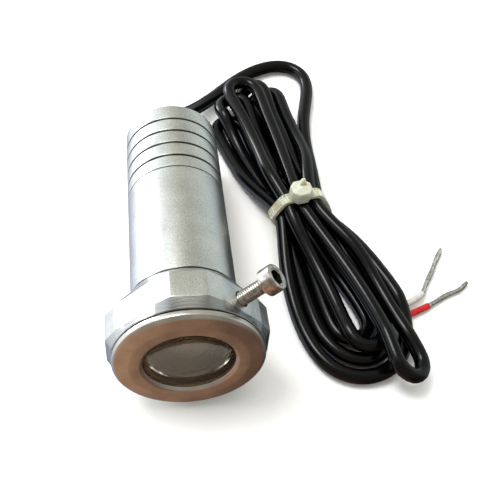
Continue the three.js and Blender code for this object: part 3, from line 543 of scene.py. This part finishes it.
def make_lens(material, edge):
    """The thick lens: a clear disc, a boss that fills the window and a convex rear face."""
    edge_radius = 8.1
    sphere = (LENS_RADIUS ** 2 + LENS_CROWN ** 2) / (2 * LENS_CROWN)
    boss = WINDOW_RADIUS - 0.08
    profile = [(0, BEZEL_FRONT + 0.15)]
    profile += [(boss * share, BEZEL_FRONT + 0.15 + 0.5 * share ** 2) for share in (0.2, 0.4, 0.6, 0.8, 0.96)]
    profile += rounded([
        (boss, BEZEL_FRONT + 0.75, 0), (boss, LENS_FRONT, 0.1), (LENS_RADIUS, LENS_FRONT, 0.2),
        (LENS_RADIUS, LENS_REAR, 0.3), (edge_radius, LENS_REAR, 0.1),
    ])
    for share in (0.96, 0.8, 0.6, 0.4, 0.2, 0):
        radius = edge_radius * share
        profile.append((radius, LENS_REAR + math.sqrt(sphere ** 2 - radius ** 2) - (sphere - LENS_CROWN)))
    bm = lathe(profile, 96)
    # Faces of the lens's edge take the second finish, a painted glow.
    for face in bm.faces:
        middle = face.calc_center_median()
        radius = math.hypot(middle.x, middle.z)
        face.material_index = int(radius > (boss - 0.12) * MM and middle.y < (LENS_REAR - 0.1) * MM)
    lens = piece("thick_lens", bm, material, sharp=40)
    lens.data.materials.append(edge)
    return lens


def make_reflector(material):
    """The cup behind the lens, a parabola from a narrow neck to its flare."""
    rear, length, neck, flare, wall = -2.45, 5.6, 3.2, 8.1, 0.5
    inside = []
    for i in range(13):
        share = i / 12
        inside.append((neck + (flare - wall - neck) * math.sqrt(share), rear - length * share))
    outside = [(radius + wall, place) for radius, place in reversed(inside)]
    return piece("reflector_bowl", lathe(inside + outside, 96), material)


def make_gland_bush(material):
    """The rubber bush that grips the lead and tapers along it where it leaves the gland."""
    seat = CAP_REAR + GAP
    profile = rounded([
        (1.95, seat - 5.4, 0), (2.27, seat - 5.4, 0.1), (2.27, seat + 1.45, 0), (2.87, seat + 1.45, 0.15),
        (2.47, seat + 2.35, 0.15), (1.95, seat + 2.4, 0),
    ])
    return piece("tapered_bush", lathe(profile, 48), material)


def make_screw(material, socket):
    """The socket cap screw, drawn outwards from the flat: threaded shank, round head and hexagon socket."""
    rows = int((SHANK_SHOWING - SHANK_TIP - 0.7) / THREAD_PITCH * 6)
    shank = [(0, SHANK_TIP), (SHANK_RADIUS - 0.35, SHANK_TIP)]
    shank += [(SHANK_RADIUS, SHANK_TIP + 0.35 + i * THREAD_PITCH / 6) for i in range(rows)]
    head = rounded([
        (SHANK_RADIUS, SHANK_SHOWING - 0.2, 0), (SHANK_RADIUS, SHANK_SHOWING, 0.12),
        (HEAD_RADIUS, SHANK_SHOWING, 0.35), (HEAD_RADIUS, SHANK_HEAD, 0.4),
        (1.95, SHANK_HEAD, 0.12), (1.7, SHANK_HEAD - 0.25, 0),
    ])
    bm = lathe(shank + head + [(0, SHANK_HEAD - 0.25)], 48)
    threaded = SHANK_TIP + 0.3, SHANK_SHOWING - 0.3
    for corner in bm.verts:
        radius = math.hypot(corner.co.x, corner.co.z) / MM
        place = corner.co.y / MM
        if threaded[0] < place < threaded[1] and radius > SHANK_RADIUS - 0.01:
            phase = (place / THREAD_PITCH + math.atan2(corner.co.x, corner.co.z) / (2 * math.pi)) % 1
            scale = 1 - THREAD_DEPTH * (1 - abs(2 * phase - 1)) / SHANK_RADIUS
            corner.co.x *= scale
            corner.co.z *= scale
    screw = piece("clamp_screw_socket_cap", bm, material, on_screw_flat(), sharp=30)
    # The socket's walls take the cutter's finish, painted shade.
    bm = bmesh.new()
    bmesh.ops.create_cone(
        bm, cap_ends=True, segments=6, radius1=SOCKET_FLATS / math.sqrt(3) * MM,
        radius2=SOCKET_FLATS / math.sqrt(3) * MM, depth=SOCKET_DEPTH * 2 * MM,
    )
    bmesh.ops.rotate(bm, verts=bm.verts[:], cent=(0, 0, 0), matrix=Matrix.Rotation(math.pi / 2, 3, "X"))
    bmesh.ops.translate(bm, verts=bm.verts[:], vec=(0, SHANK_HEAD * MM, 0))
    carve(screw, piece("hexagon_cutter", bm, socket, on_screw_flat()))
    return screw


# ---- Cord: the lead's listed route, then the hank's turns ----
# The lead as it lies, in millimetres from the bench below the light's own origin: out of the gland, down to
# the bench, round in a loop and back to the hank.
LEAD_ROUTE = [
    (0, 53.05, 10.66), (0.3, 56, 10.2), (2.7, 61, 8.6), (5.8, 65.6, 6.2), (10, 71.3, 3.4), (14.8, 77.4, 1.9),
    (19.8, 82.3, 1.8), (24.8, 85.9, 1.8), (30.2, 88.7, 1.8), (35, 89.4, 1.8), (39.4, 87.4, 1.8),
    (41.4, 82.9, 1.8), (40.4, 77.4, 1.8), (38.2, 71.6, 1.8), (36.6, 65.6, 1.8), (35.8, 59, 1.8),
    (35.9, 53, 1.8), (36.7, 48.1, 1.8),
]
LEAD_SHOULDER = (8.6, 9, 2.2)
RUN_PITCH = 2 * CORD_RADIUS - 0.15
LOWEST_RUN = 3.05
TIE_HALF, TIE_REACH = 1.6, 8.5
# Where each run passes through the tie: rows from the bench up, and the lead beside the lowest.
TIED = {"lead": (6.1, LOWEST_RUN)}
for row, (first, count) in enumerate(((-1, 3), (-1.5, 4), (-1, 3))):
    for column in range(count):
        height = LOWEST_RUN + row * RUN_PITCH * math.sqrt(0.75)
        TIED[row, column] = ((first + column) * RUN_PITCH, height)
# The hank's half turns. side: -1 towards the lens end, 1 away. Then the place in the tie that the run comes
# from and its lane (across, height), the same for the run back, how far the fold reaches and its height.
HALF_TURNS = [
    (-1, "lead", (12.4, 4.9), (1, 0), (-10.4, 1.7), 46.2, 1.7),
    (1, (1, 0), (-9.2, 1.8), (1, 2), (-1.6, 1.7), 38.6, 1.8),
    (-1, (1, 2), (8.8, 1.7), (0, 0), (-6.9, 1.7), 42.4, 1.7),
    (1, (0, 0), (-6.4, 2.2), (1, 1), (-0.6, 4.9), 44.8, 4.4),
    (-1, (1, 1), (4.4, 1.7), (0, 1), (-3.2, 1.7), 37.6, 1.7),
    (1, (0, 1), (0.6, 1.7), (1, 3), (6.0, 4.9), 48.4, 2.6),
    (-1, (1, 3), (7.0, 4.7), (2, 0), (-1.4, 4.7), 41.6, 4.7),
    (1, (2, 0), (-3.2, 8.0), (2, 1), (3.2, 8.0), 47.6, 7.4),
    (-1, (2, 1), (5.2, 8.2), (2, 2), (10.4, 5.2), 51.2, 5.0),
    (1, (2, 2), (8.6, 5.0), (0, 2), (3.8, 1.7), 46.4, 2.6),
]
TAIL = [(5.2, -6, 2), (8, -13, 1.7), (10.4, -20, 1.7), (11.4, -25, 1.7), (12.4, -29.2, 1.7)]


def half_turn(side, came_from, lane_out, goes_to, lane_back, reach, fold_height):
    """From the tie along one lane, round the fold and back along another to the tie."""
    runs = []
    for tied, lane in ((TIED[came_from], lane_out), (TIED[goes_to], lane_back)):
        run = [(tied[0], TIE_HALF, tied[1])]
        for share in (0.18, 0.38, 0.6, 0.8):
            spread = min(1, math.sin(share * math.pi / 1.6) ** 1.15)
            rise = min(1, 1.6 * share)
            run.append((
                tied[0] + (lane[0] - tied[0]) * spread,
                share * (reach - 4),
                tied[1] + (lane[1] - tied[1]) * rise,
            ))
        runs.append(run)
    half_width = (lane_back[0] - lane_out[0]) / 2
    middle = lane_out[0] + half_width
    depth = min(abs(half_width) * 0.85, 9)
    fold = []
    for k in range(1, 6):
        angle = math.pi * k / 6
        height = lane_out[1] if k < 3 else lane_back[1]
        fold.append((
            middle - half_width * math.cos(angle),
            reach - depth + depth * math.sin(angle),
            fold_height + (height - fold_height) * math.cos(angle) ** 2,
        ))
    return [(x, side * y, z) for x, y, z in runs[0] + fold + runs[1][::-1]]


def resampled(points, spacing):
    """Points an even distance apart along the line through the given ones."""
    along = np.concatenate([[0], np.cumsum(np.linalg.norm(np.diff(points, axis=0), axis=1))])
    count = int(round(along[-1] / spacing)) + 1
    even = np.linspace(0, along[-1], count)
    return np.stack([np.interp(even, along, points[:, k]) for k in range(3)], 1)


def smooth_line(points, spacing):
    """A smooth curve through the points, as evenly spaced points: cubic pieces that share their slopes."""
    points = np.asarray(points, float)
    knots = np.concatenate([[0], np.cumsum(np.sqrt(np.linalg.norm(np.diff(points, axis=0), axis=1)))])
    slopes = np.gradient(points, knots, axis=0)
    out = []
    for i in range(len(points) - 1):
        width = knots[i + 1] - knots[i]
        for t in np.linspace(0, 1, 16, endpoint=False):
            out.append(
                (2 * t ** 3 - 3 * t ** 2 + 1) * points[i] + (t ** 3 - 2 * t ** 2 + t) * width * slopes[i]
                + (3 * t ** 2 - 2 * t ** 3) * points[i + 1] + (t ** 3 - t ** 2) * width * slopes[i + 1]
            )
    return resampled(np.array(out + [points[-1]]), spacing)


def to_hank(points):
    """From the light's bench millimetres to the hank's own frame."""
    shift = HANK.inverted() @ Matrix.Translation(bench_origin)
    return [tuple((shift @ (Vector(point) * MM)) / MM) for point in points]


# How the cord settles: the spacing of its points while it settles and as it is drawn, the rounds, how far
# along the cord each smoothing pass looks and its weight, and the least span of a few links at a fold.
SETTLED_SPACING, DRAWN_SPACING = 1.7, 0.9
ROUNDS, QUICK_ROUNDS = 260, 60
SMOOTHING = ((1, 0.25), (2, 0.2), (3, 0.12))
FOLD_LINKS, FOLD_SPAN = 4, 5.5


def settle(line, rounds):
    """Lets the cord take up its own thickness and stiffness: runs push each other apart, tight bends open
    and nothing sinks below the bench. Crowded runs still end a little inside each other. It uses no
    random numbers."""
    count = len(line)
    home = line.copy()
    held = (np.abs(line[:, 1]) < TIE_HALF) & (np.abs(line[:, 0]) < TIE_REACH)
    held[:6] = True
    held[-2:] = True
    free = np.where(held, 0.0, 1.0)[:, None]
    one, other = np.triu_indices(count, 5)
    for step in range(rounds):
        ease = 1 - step / rounds
        for reach, weight in SMOOTHING:
            sag = np.zeros_like(line)
            sag[reach:-reach] = (line[:-2 * reach] + line[2 * reach:]) / 2 - line[reach:-reach]
            average = sag.copy()
            average[1:-1] = (sag[:-2] + sag[1:-1] + sag[2:]) / 3
            line = line + free * weight * (sag - 0.92 * average)
        line = line + free * (0.035 * ease + 0.004) * (home - line)
        line[:, 2] -= 0.01 * free[:, 0]
        chord = line[FOLD_LINKS:] - line[:-FOLD_LINKS]
        span = np.linalg.norm(chord, axis=1)
        short = np.maximum(FOLD_SPAN - span, 0)
        push = chord / span[:, None] * (0.3 * short)[:, None]
        move = np.zeros_like(line)
        move[FOLD_LINKS:] += push
        move[:-FOLD_LINKS] -= push
        line = line + free * move
        for _ in range(2):
            gap = line[other] - line[one]
            apart = np.sqrt((gap ** 2).sum(1))
            hit = apart < 2 * CORD_RADIUS
            a, b = one[hit], other[hit]
            push = gap[hit] * ((2 * CORD_RADIUS - apart[hit]) * 0.3 / np.maximum(apart[hit], 1e-6))[:, None]
            move = np.zeros_like(line)
            touches = np.zeros(count)
            np.add.at(move, a, -push)
            np.add.at(move, b, push)
            np.add.at(touches, a, 1)
            np.add.at(touches, b, 1)
            line = line + free * move / np.sqrt(np.maximum(touches, 1))[:, None]
            line[:, 2] = np.maximum(line[:, 2], CORD_RADIUS)
        link = line[1:] - line[:-1]
        size = np.linalg.norm(link, axis=1)
        fix = link / size[:, None] * ((size - size.mean()) * 0.25)[:, None]
        move = np.zeros_like(line)
        move[:-1] += fix
        move[1:] -= fix
        line = line + free * move
    return line


def tube_curve(name, lines, radius, material, place, sides=5):
    """One curve object with a round section along each line of points."""
    data = bpy.data.curves.new(name, "CURVE")
    data.dimensions = "3D"
    data.bevel_depth = radius * MM
    data.bevel_resolution = sides
    data.use_fill_caps = True
    for line in lines:
        spline = data.splines.new("POLY")
        spline.points.add(len(line) - 1)
        for point, where in zip(spline.points, line):
            point.co = (*(place @ (Vector(where) * MM)), 1)
        spline.use_smooth = True
    data.materials.append(material)
    made = bpy.data.objects.new(name, data)
    bpy.context.scene.collection.objects.link(made)
    return made


def make_cord(material):
    """The lead and the whole hank as one cord, end to end. Returns it with its length in metres."""
    route = to_hank(LEAD_ROUTE) + [LEAD_SHOULDER]
    for turn_of_hank in HALF_TURNS:
        route += half_turn(*turn_of_hank)
    route += TAIL
    rounds = ROUNDS
    line = settle(smooth_line(route, SETTLED_SPACING), rounds)
    line = smooth_line(line, DRAWN_SPACING)
    length = float(np.linalg.norm(np.diff(line, axis=0), axis=1).sum()) * MM
    return tube_curve("two_core_lead", [line], CORD_RADIUS, material, HANK, 6), length


# ---- The lead's bare end ----
WHITE_CORE_ROUTE = [(50.4, 4.2, 1.7), (51.9, 5, 1.6), (54.2, 6, 1.6), (56.8, 7.8, 1.3)]
WHITE_STRAND_ROUTE = [
    (56.6, 7.6, 1.3), (58.7, 11, 0.95), (60.8, 14.2, 0.75), (62.7, 17.4, 0.65), (65, 21, 0.6),
]
RED_CORE_ROUTE = [(50.9, 2.2, 1.2), (52.5, 2.6, 1), (55, 3.6, 0.9), (57.6, 4.7, 0.8)]
RED_STRAND_ROUTE = [
    (57.4, 4.6, 0.8), (60.4, 6.2, 0.72), (63.1, 7.6, 0.62), (66.3, 8.8, 0.6), (68.9, 10.8, 0.6),
]
STRANDS, STRAND_RADIUS, STRAND_LAY, BUNCH_RADIUS = 6, 0.21, 4.2, 0.34
CORE_SPACING = 0.3


def twisted_strands(route):
    """Fine wires wound round each other along the route, closing in at their tip."""
    middle = smooth_line(route, CORE_SPACING)
    ahead = np.gradient(middle, axis=0)
    ahead /= np.linalg.norm(ahead, axis=1)[:, None]
    side = np.cross(ahead, (0, 0, 1))
    side /= np.linalg.norm(side, axis=1)[:, None]
    up = np.cross(side, ahead)
    along = np.arange(len(middle)) * CORE_SPACING
    close = np.minimum(1, (along[-1] - along) / 2.5 + 0.45) * BUNCH_RADIUS
    lines = []
    for k in range(STRANDS):
        angle = 2 * math.pi * (along / STRAND_LAY + k / STRANDS)
        reach = close * (1 + 0.25 * np.sin(along * 2.1 + 2.4 * k))
        lines.append(middle + side * (reach * np.cos(angle))[:, None] + up * (reach * np.sin(angle))[:, None])
    return lines


# ---- Cable tie ----
STRAP_WIDTH, STRAP_THICKNESS, TOOTH_PITCH = 2.5, 1.0, 0.62
HEAD_WIDTH, HEAD_DEPTH, HEAD_HEIGHT, HEAD_SHIFT = 5.3, 4.7, 3.4, -0.5
HEAD_CORNER, HEAD_SOFTENING = 1.35, 0.3
STUB_WIDTH, STUB_DEPTH, STUB_HEIGHT, STUB_SOFTENING = 2.3, 1.3, 2.4, 0.18


def strap_outline(margin, directions=720):
    """The line drawn tight round the tied runs, the margin off them, as (across, height) points."""
    points = []
    for k in range(directions):
        angle = 2 * math.pi * k / directions
        out = Vector((math.cos(angle), math.sin(angle)))
        furthest = max((Vector(run) for run in TIED.values()), key=lambda run: run.dot(out))
        points.append(furthest + out * (CORD_RADIUS + margin))
    line = np.array([(point.x, point.y, 0) for point in points + points[:1]])
    return resampled(line, TOOTH_PITCH / 4)[:-1]


def make_strap(material):
    """The strap: a band with a smooth back and plain edges, and cross teeth along its middle outside."""
    bm = bmesh.new()
    inner = strap_outline(0.02)
    half = STRAP_WIDTH / 2
    loops = []
    stations = (
        (-half, 0), (-half, 1), (-half + 0.2, 1), (-half + 0.25, 2),
        (half - 0.25, 2), (half - 0.2, 1), (half, 1), (half, 0),
    )
    ahead = np.roll(inner, -1, axis=0) - np.roll(inner, 1, axis=0)
    outward = np.stack([ahead[:, 1], -ahead[:, 0]], 1)
    outward /= np.linalg.norm(outward, axis=1)[:, None]
    for i, (x, z, _) in enumerate(inner):
        tooth = (0.58, 0.58, 1.0, 1.0)[i % 4]
        ring = []
        for y, level in stations:
            out = (0, STRAP_THICKNESS * 0.92, STRAP_THICKNESS * tooth)[level]
            across = x + outward[i, 0] * out
            height = z + outward[i, 1] * out
            ring.append(bm.verts.new((across * MM, y * MM, height * MM)))
        loops.append(ring)
    for ring in loops:
        for a, b in zip(ring, ring[1:] + ring[:1]):
            bm.edges.new((a, b))
    for ring, following in zip(loops, loops[1:] + loops[:1]):
        for k in range(len(stations)):
            after = (k + 1) % len(stations)
            bm.faces.new((ring[k], ring[after], following[after], following[k]))
    bmesh.ops.recalc_face_normals(bm, faces=bm.faces[:])
    return piece("tie_band", bm, material, HANK, sharp=40)


def make_tie_head(material):
    """The head: an eight-sided block with soft edges, and the cut tail standing out of its top."""
    bm = bmesh.new()
    bmesh.ops.create_cube(bm, size=1)
    bmesh.ops.scale(bm, vec=(HEAD_WIDTH * MM, HEAD_DEPTH * MM, HEAD_HEIGHT * MM), verts=bm.verts[:])
    upright = [edge for edge in bm.edges if abs(edge.verts[0].co.z - edge.verts[1].co.z) > MM]
    bmesh.ops.bevel(bm, geom=upright, offset=HEAD_CORNER * MM, offset_type="OFFSET", affect="EDGES",
                    segments=1, profile=0.5, material=-1)
    for corner in bm.verts:
        if corner.co.z > 0:
            corner.co.x *= 0.96
            corner.co.y *= 0.96
    bmesh.ops.bevel(bm, geom=bm.edges[:], offset=HEAD_SOFTENING * MM, offset_type="OFFSET", affect="EDGES",
                    segments=3, profile=0.5, material=-1)
    bmesh.ops.translate(bm, verts=bm.verts[:], vec=(HEAD_SHIFT * MM, 0, (head_low.z + head_high.z) / 2))
    tail = bmesh.new()
    bmesh.ops.create_cube(tail, size=1)
    bmesh.ops.scale(tail, vec=(STUB_WIDTH * MM, STUB_DEPTH * MM, STUB_HEIGHT * MM), verts=tail.verts[:])
    for corner in tail.verts:
        if corner.co.z > 0:
            corner.co.x = corner.co.x * 0.35 + 0.3 * MM
            corner.co.y *= 0.6
    bmesh.ops.bevel(tail, geom=tail.edges[:], offset=STUB_SOFTENING * MM, offset_type="OFFSET",
                    affect="EDGES", segments=2, profile=0.5, material=-1)
    stub_place = ((HEAD_SHIFT + 0.5) * MM, 1.1 * MM, head_high.z + 0.1 * MM)
    bmesh.ops.translate(tail, verts=tail.verts[:], vec=stub_place)
    head = piece("tie_buckle", bm, material, HANK, sharp=50)
    stub = piece("tie_cut_tail", tail, material, HANK, sharp=50)
    return head, stub


# ---- Stage ----
# What the metal sees of the room behind the light: colours by the angle about the light's length, from
# straight down, over the left, the top and the right, and down again.
BACK_OF_ROOM = [
    (-180, "30303c"), (-156, "747486"), (-134, "a3adb9"), (-108, "d8dddf"), (-72, "e6e8e7"), (-44, "b7bec0"),
    (-10, "9b9b90"), (25, "84837a"), (58, "939793"), (92, "9ea6a5"), (118, "6c7479"), (142, "262c38"),
    (180, "0c111b"),
]
ROOM_STRENGTH = 2.3
FRONT_LOW_LEFT, FRONT_LOW_RIGHT, FRONT_HIGH = "836754", "4c3a2f", "6f6f6a"
# Bright windows, low behind the light on its left and above the hank: the way, the soft edge as cosines and
# the glow.
WINDOWS = [((-0.72, 0.69, 0.1), (0.972, 0.99), 13), ((-0.35, 0.23, 0.91), (0.975, 0.99), 15)]


def add_room():
    """The room round the bench, for reflections: soft bands behind the light, warm and dim before it."""
    world = bpy.data.worlds.new("studio")
    world.use_nodes = True
    tree = world.node_tree
    tree.nodes.clear()
    way = add(tree, "TexCoord").outputs["Generated"]
    parts = add(tree, "SeparateXYZ", {0: way}).outputs
    angle = add(tree, "Math", {0: parts["X"], 1: parts["Z"]}, operation="ARCTAN2").outputs[0]
    share = add(tree, "MapRange", {"Value": angle, "From Min": -math.pi, "From Max": math.pi}).outputs[0]
    bands = add(tree, "ValToRGB", {"Fac": share})
    stops = bands.color_ramp.elements
    for turned, code in BACK_OF_ROOM[1:-1]:
        stops.new(turned / 360 + 0.5).color = linear(code)
    stops[0].color = linear(BACK_OF_ROOM[0][1])
    stops[-1].color = linear(BACK_OF_ROOM[-1][1])
    feeds = {"Value": parts["Z"], "From Min": -0.4, "From Max": 0.6}
    height = add(tree, "MapRange", feeds, interpolation_type="SMOOTHSTEP").outputs[0]
    across = add(tree, "MapRange", {"Value": parts["X"], "From Min": -0.15, "From Max": 0.22}).outputs[0]
    feeds = {0: across, 6: linear(FRONT_LOW_LEFT), 7: linear(FRONT_LOW_RIGHT)}
    low = add(tree, "Mix", feeds, data_type="RGBA").outputs[2]
    front = add(tree, "Mix", {0: height, 6: low, 7: linear(FRONT_HIGH)}, data_type="RGBA").outputs[2]
    feeds = {"Value": parts["Y"], "From Min": -0.4, "From Max": 0.05}
    behind = add(tree, "MapRange", feeds, interpolation_type="SMOOTHSTEP").outputs[0]
    room = add(tree, "Mix", {0: behind, 6: front, 7: bands.outputs[0]}, data_type="RGBA").outputs[2]
    for direction, (outer, inner), strength in WINDOWS:
        feeds = {0: way, 1: Vector(direction).normalized()}
        near = add(tree, "VectorMath", feeds, operation="DOT_PRODUCT").outputs["Value"]
        feeds = {"Value": near, "From Min": outer, "From Max": inner}
        window = add(tree, "MapRange", feeds, interpolation_type="SMOOTHSTEP").outputs[0]
        glow = [strength / ROOM_STRENGTH] * 3 + [1]
        room = add(tree, "Mix", {0: window, 6: room, 7: glow}, data_type="RGBA").outputs[2]
    sky = add(tree, "Background", {"Color": room, "Strength": ROOM_STRENGTH})
    add(tree, "OutputWorld", {"Surface": sky.outputs[0]})
    bpy.context.scene.world = world


# The bench top reaches two metres each way, and lies a hair under the casing. The panels face a point
# beside the light.
BENCH_REACH, BENCH_DROP = 2, 0.0002
PANEL_AIM = bench_origin + Vector((15 * MM, 10 * MM, 10 * MM))


def add_stage():
    """A pale bench top and soft studio panels, which the metal doesn't mirror."""
    bm = bmesh.new()
    bmesh.ops.create_grid(bm, x_segments=1, y_segments=1, size=BENCH_REACH)
    floor_finish = even_finish("matt_paper_bench", "f7f6f4", "fcfbfa", 0.8, 0.01, (0.7, 0.85), drift=60)
    floor = piece("bench_top", bm, floor_finish, Matrix.Translation((0, 0, -BENCH_DROP)))
    floor.visible_glossy = False
    bpy.context.scene.view_settings.view_transform = "Standard"
    panels = [
        ("strip_behind_left", (-0.56, 0.58, 0.60), 0.7, (0.13, 0.7), 1.2, "fdfdff"),
        ("panel_overhead", (0.05, 0.1, 0.99), 0.8, (0.6, 0.6), 2.4, "fdfdff"),
        ("panel_front", (-0.3, -0.8, 0.55), 0.9, (0.6, 0.4), 1.2, "ffffff"),
    ]
    for name, direction, distance, (width, height), power, colour in panels:
        data = bpy.data.lights.new(name, "AREA")
        data.shape = "RECTANGLE"
        data.size, data.size_y = width, height
        data.energy = power
        data.color = linear(colour)[:3]
        lamp = bpy.data.objects.new(name, data)
        out = Vector(direction).normalized()
        lamp.location = PANEL_AIM + out * distance
        lamp.rotation_euler = out.to_track_quat("Z", "Y").to_euler()
        lamp.visible_glossy = False
        bpy.context.scene.collection.objects.link(lamp)


# ---- The whole light ----
def dress_frame_nodes(finishes):
    """The pieces inside the casing keep their own shape and get their real finish."""
    inside = {
        "rear_oring": "seal_rubber", "lens_gasket": "seal_rubber", "lens_seat_oring": "seal_rubber",
        "heat_slug": "heat_spreader", "led_star_board": "white_board",
        "star_board_screw_left": "stainless_steel", "star_board_screw_right": "stainless_steel",
        "led_emitter": "led_phosphor", "led_dome": "lens_glass",
        "led_lead_red": "red_pvc", "led_lead_white": "white_pvc",
        "driver_board": "green_laminate", "driver_inductor": "black_epoxy", "driver_capacitor": "black_pvc",
        "driver_rectifier": "black_epoxy", "driver_chip": "black_epoxy",
        "gland_body": "gland_brass", "gland_nut": "gland_brass", "cord_inner_end": "black_pvc",
        "feed_core_red": "red_pvc", "feed_core_white": "white_pvc",
    }
    for name, finish in inside.items():
        mesh = frame["nodes"][name].data
        mesh.materials.clear()
        mesh.materials.append(finishes[finish])


def place(made, node_names, slot, body="casing"):
    """Puts a piece on its body, in place of its CAD nodes."""
    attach(made, body)
    if node_names:
        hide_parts(*node_names)
    return made


add_camera()
finishes = make_materials()
black = finishes["black_pvc"]
tin = finishes["tinned_copper"]
to_bench = Matrix.Translation(bench_origin)
cord, cord_length = make_cord(black)
place(cord, ["cord_lead", "cord_hank"], "black_pvc")
for name, route, colour in (("white", WHITE_CORE_ROUTE, "white_pvc"), ("red", RED_CORE_ROUTE, "red_pvc")):
    line = smooth_line(route, CORE_SPACING)
    core = tube_curve(f"{name}_core", [line], CORE_RADIUS, finishes[colour], to_bench)
    place(core, [f"core_{name}"], colour)
for name, route in (("white", WHITE_STRAND_ROUTE), ("red", RED_STRAND_ROUTE)):
    strands = tube_curve(f"{name}_tinned_strands", twisted_strands(route), STRAND_RADIUS, tin, to_bench, 2)
    place(strands, [f"tinned_end_{name}"], "tinned_copper")
nylon = finishes["natural_nylon"]
place(make_strap(nylon), ["tie_strap"], "natural_nylon")
buckle, cut_tail = make_tie_head(nylon)
place(buckle, ["tie_head"], "natural_nylon")
place(cut_tail, [], "natural_nylon")

aluminium = finishes["anodised_aluminium"]
place(make_tube(aluminium), ["body_tube"], "anodised_aluminium")
place(make_rear_cap(aluminium, finishes["turned_groove"]), ["rear_cap"], "anodised_aluminium")
collar = make_collar(aluminium, finishes["turned_taper"], finishes["turned_groove"])
place(collar, ["front_collar"], "anodised_aluminium")
place(make_collar_seal(finishes["seal_rubber"]), ["collar_oring"], "seal_rubber")
place(make_bezel(finishes["turned_aluminium"]), ["bezel_ring"], "turned_aluminium")
place(make_lens(finishes["lens_glass"], finishes["ground_edge"]), ["glass_lens"], "lens_glass")
place(make_reflector(finishes["bright_reflector"]), ["reflector_cup"], "bright_reflector")
place(make_gland_bush(finishes["seal_rubber"]), ["gland_bush"], "seal_rubber")
screw = make_screw(finishes["stainless_steel"], finishes["socket_steel"])
place(screw, ["clamp_screw"], "stainless_steel", "clamp_screw")
dress_frame_nodes(finishes)
add_room()
add_stage()
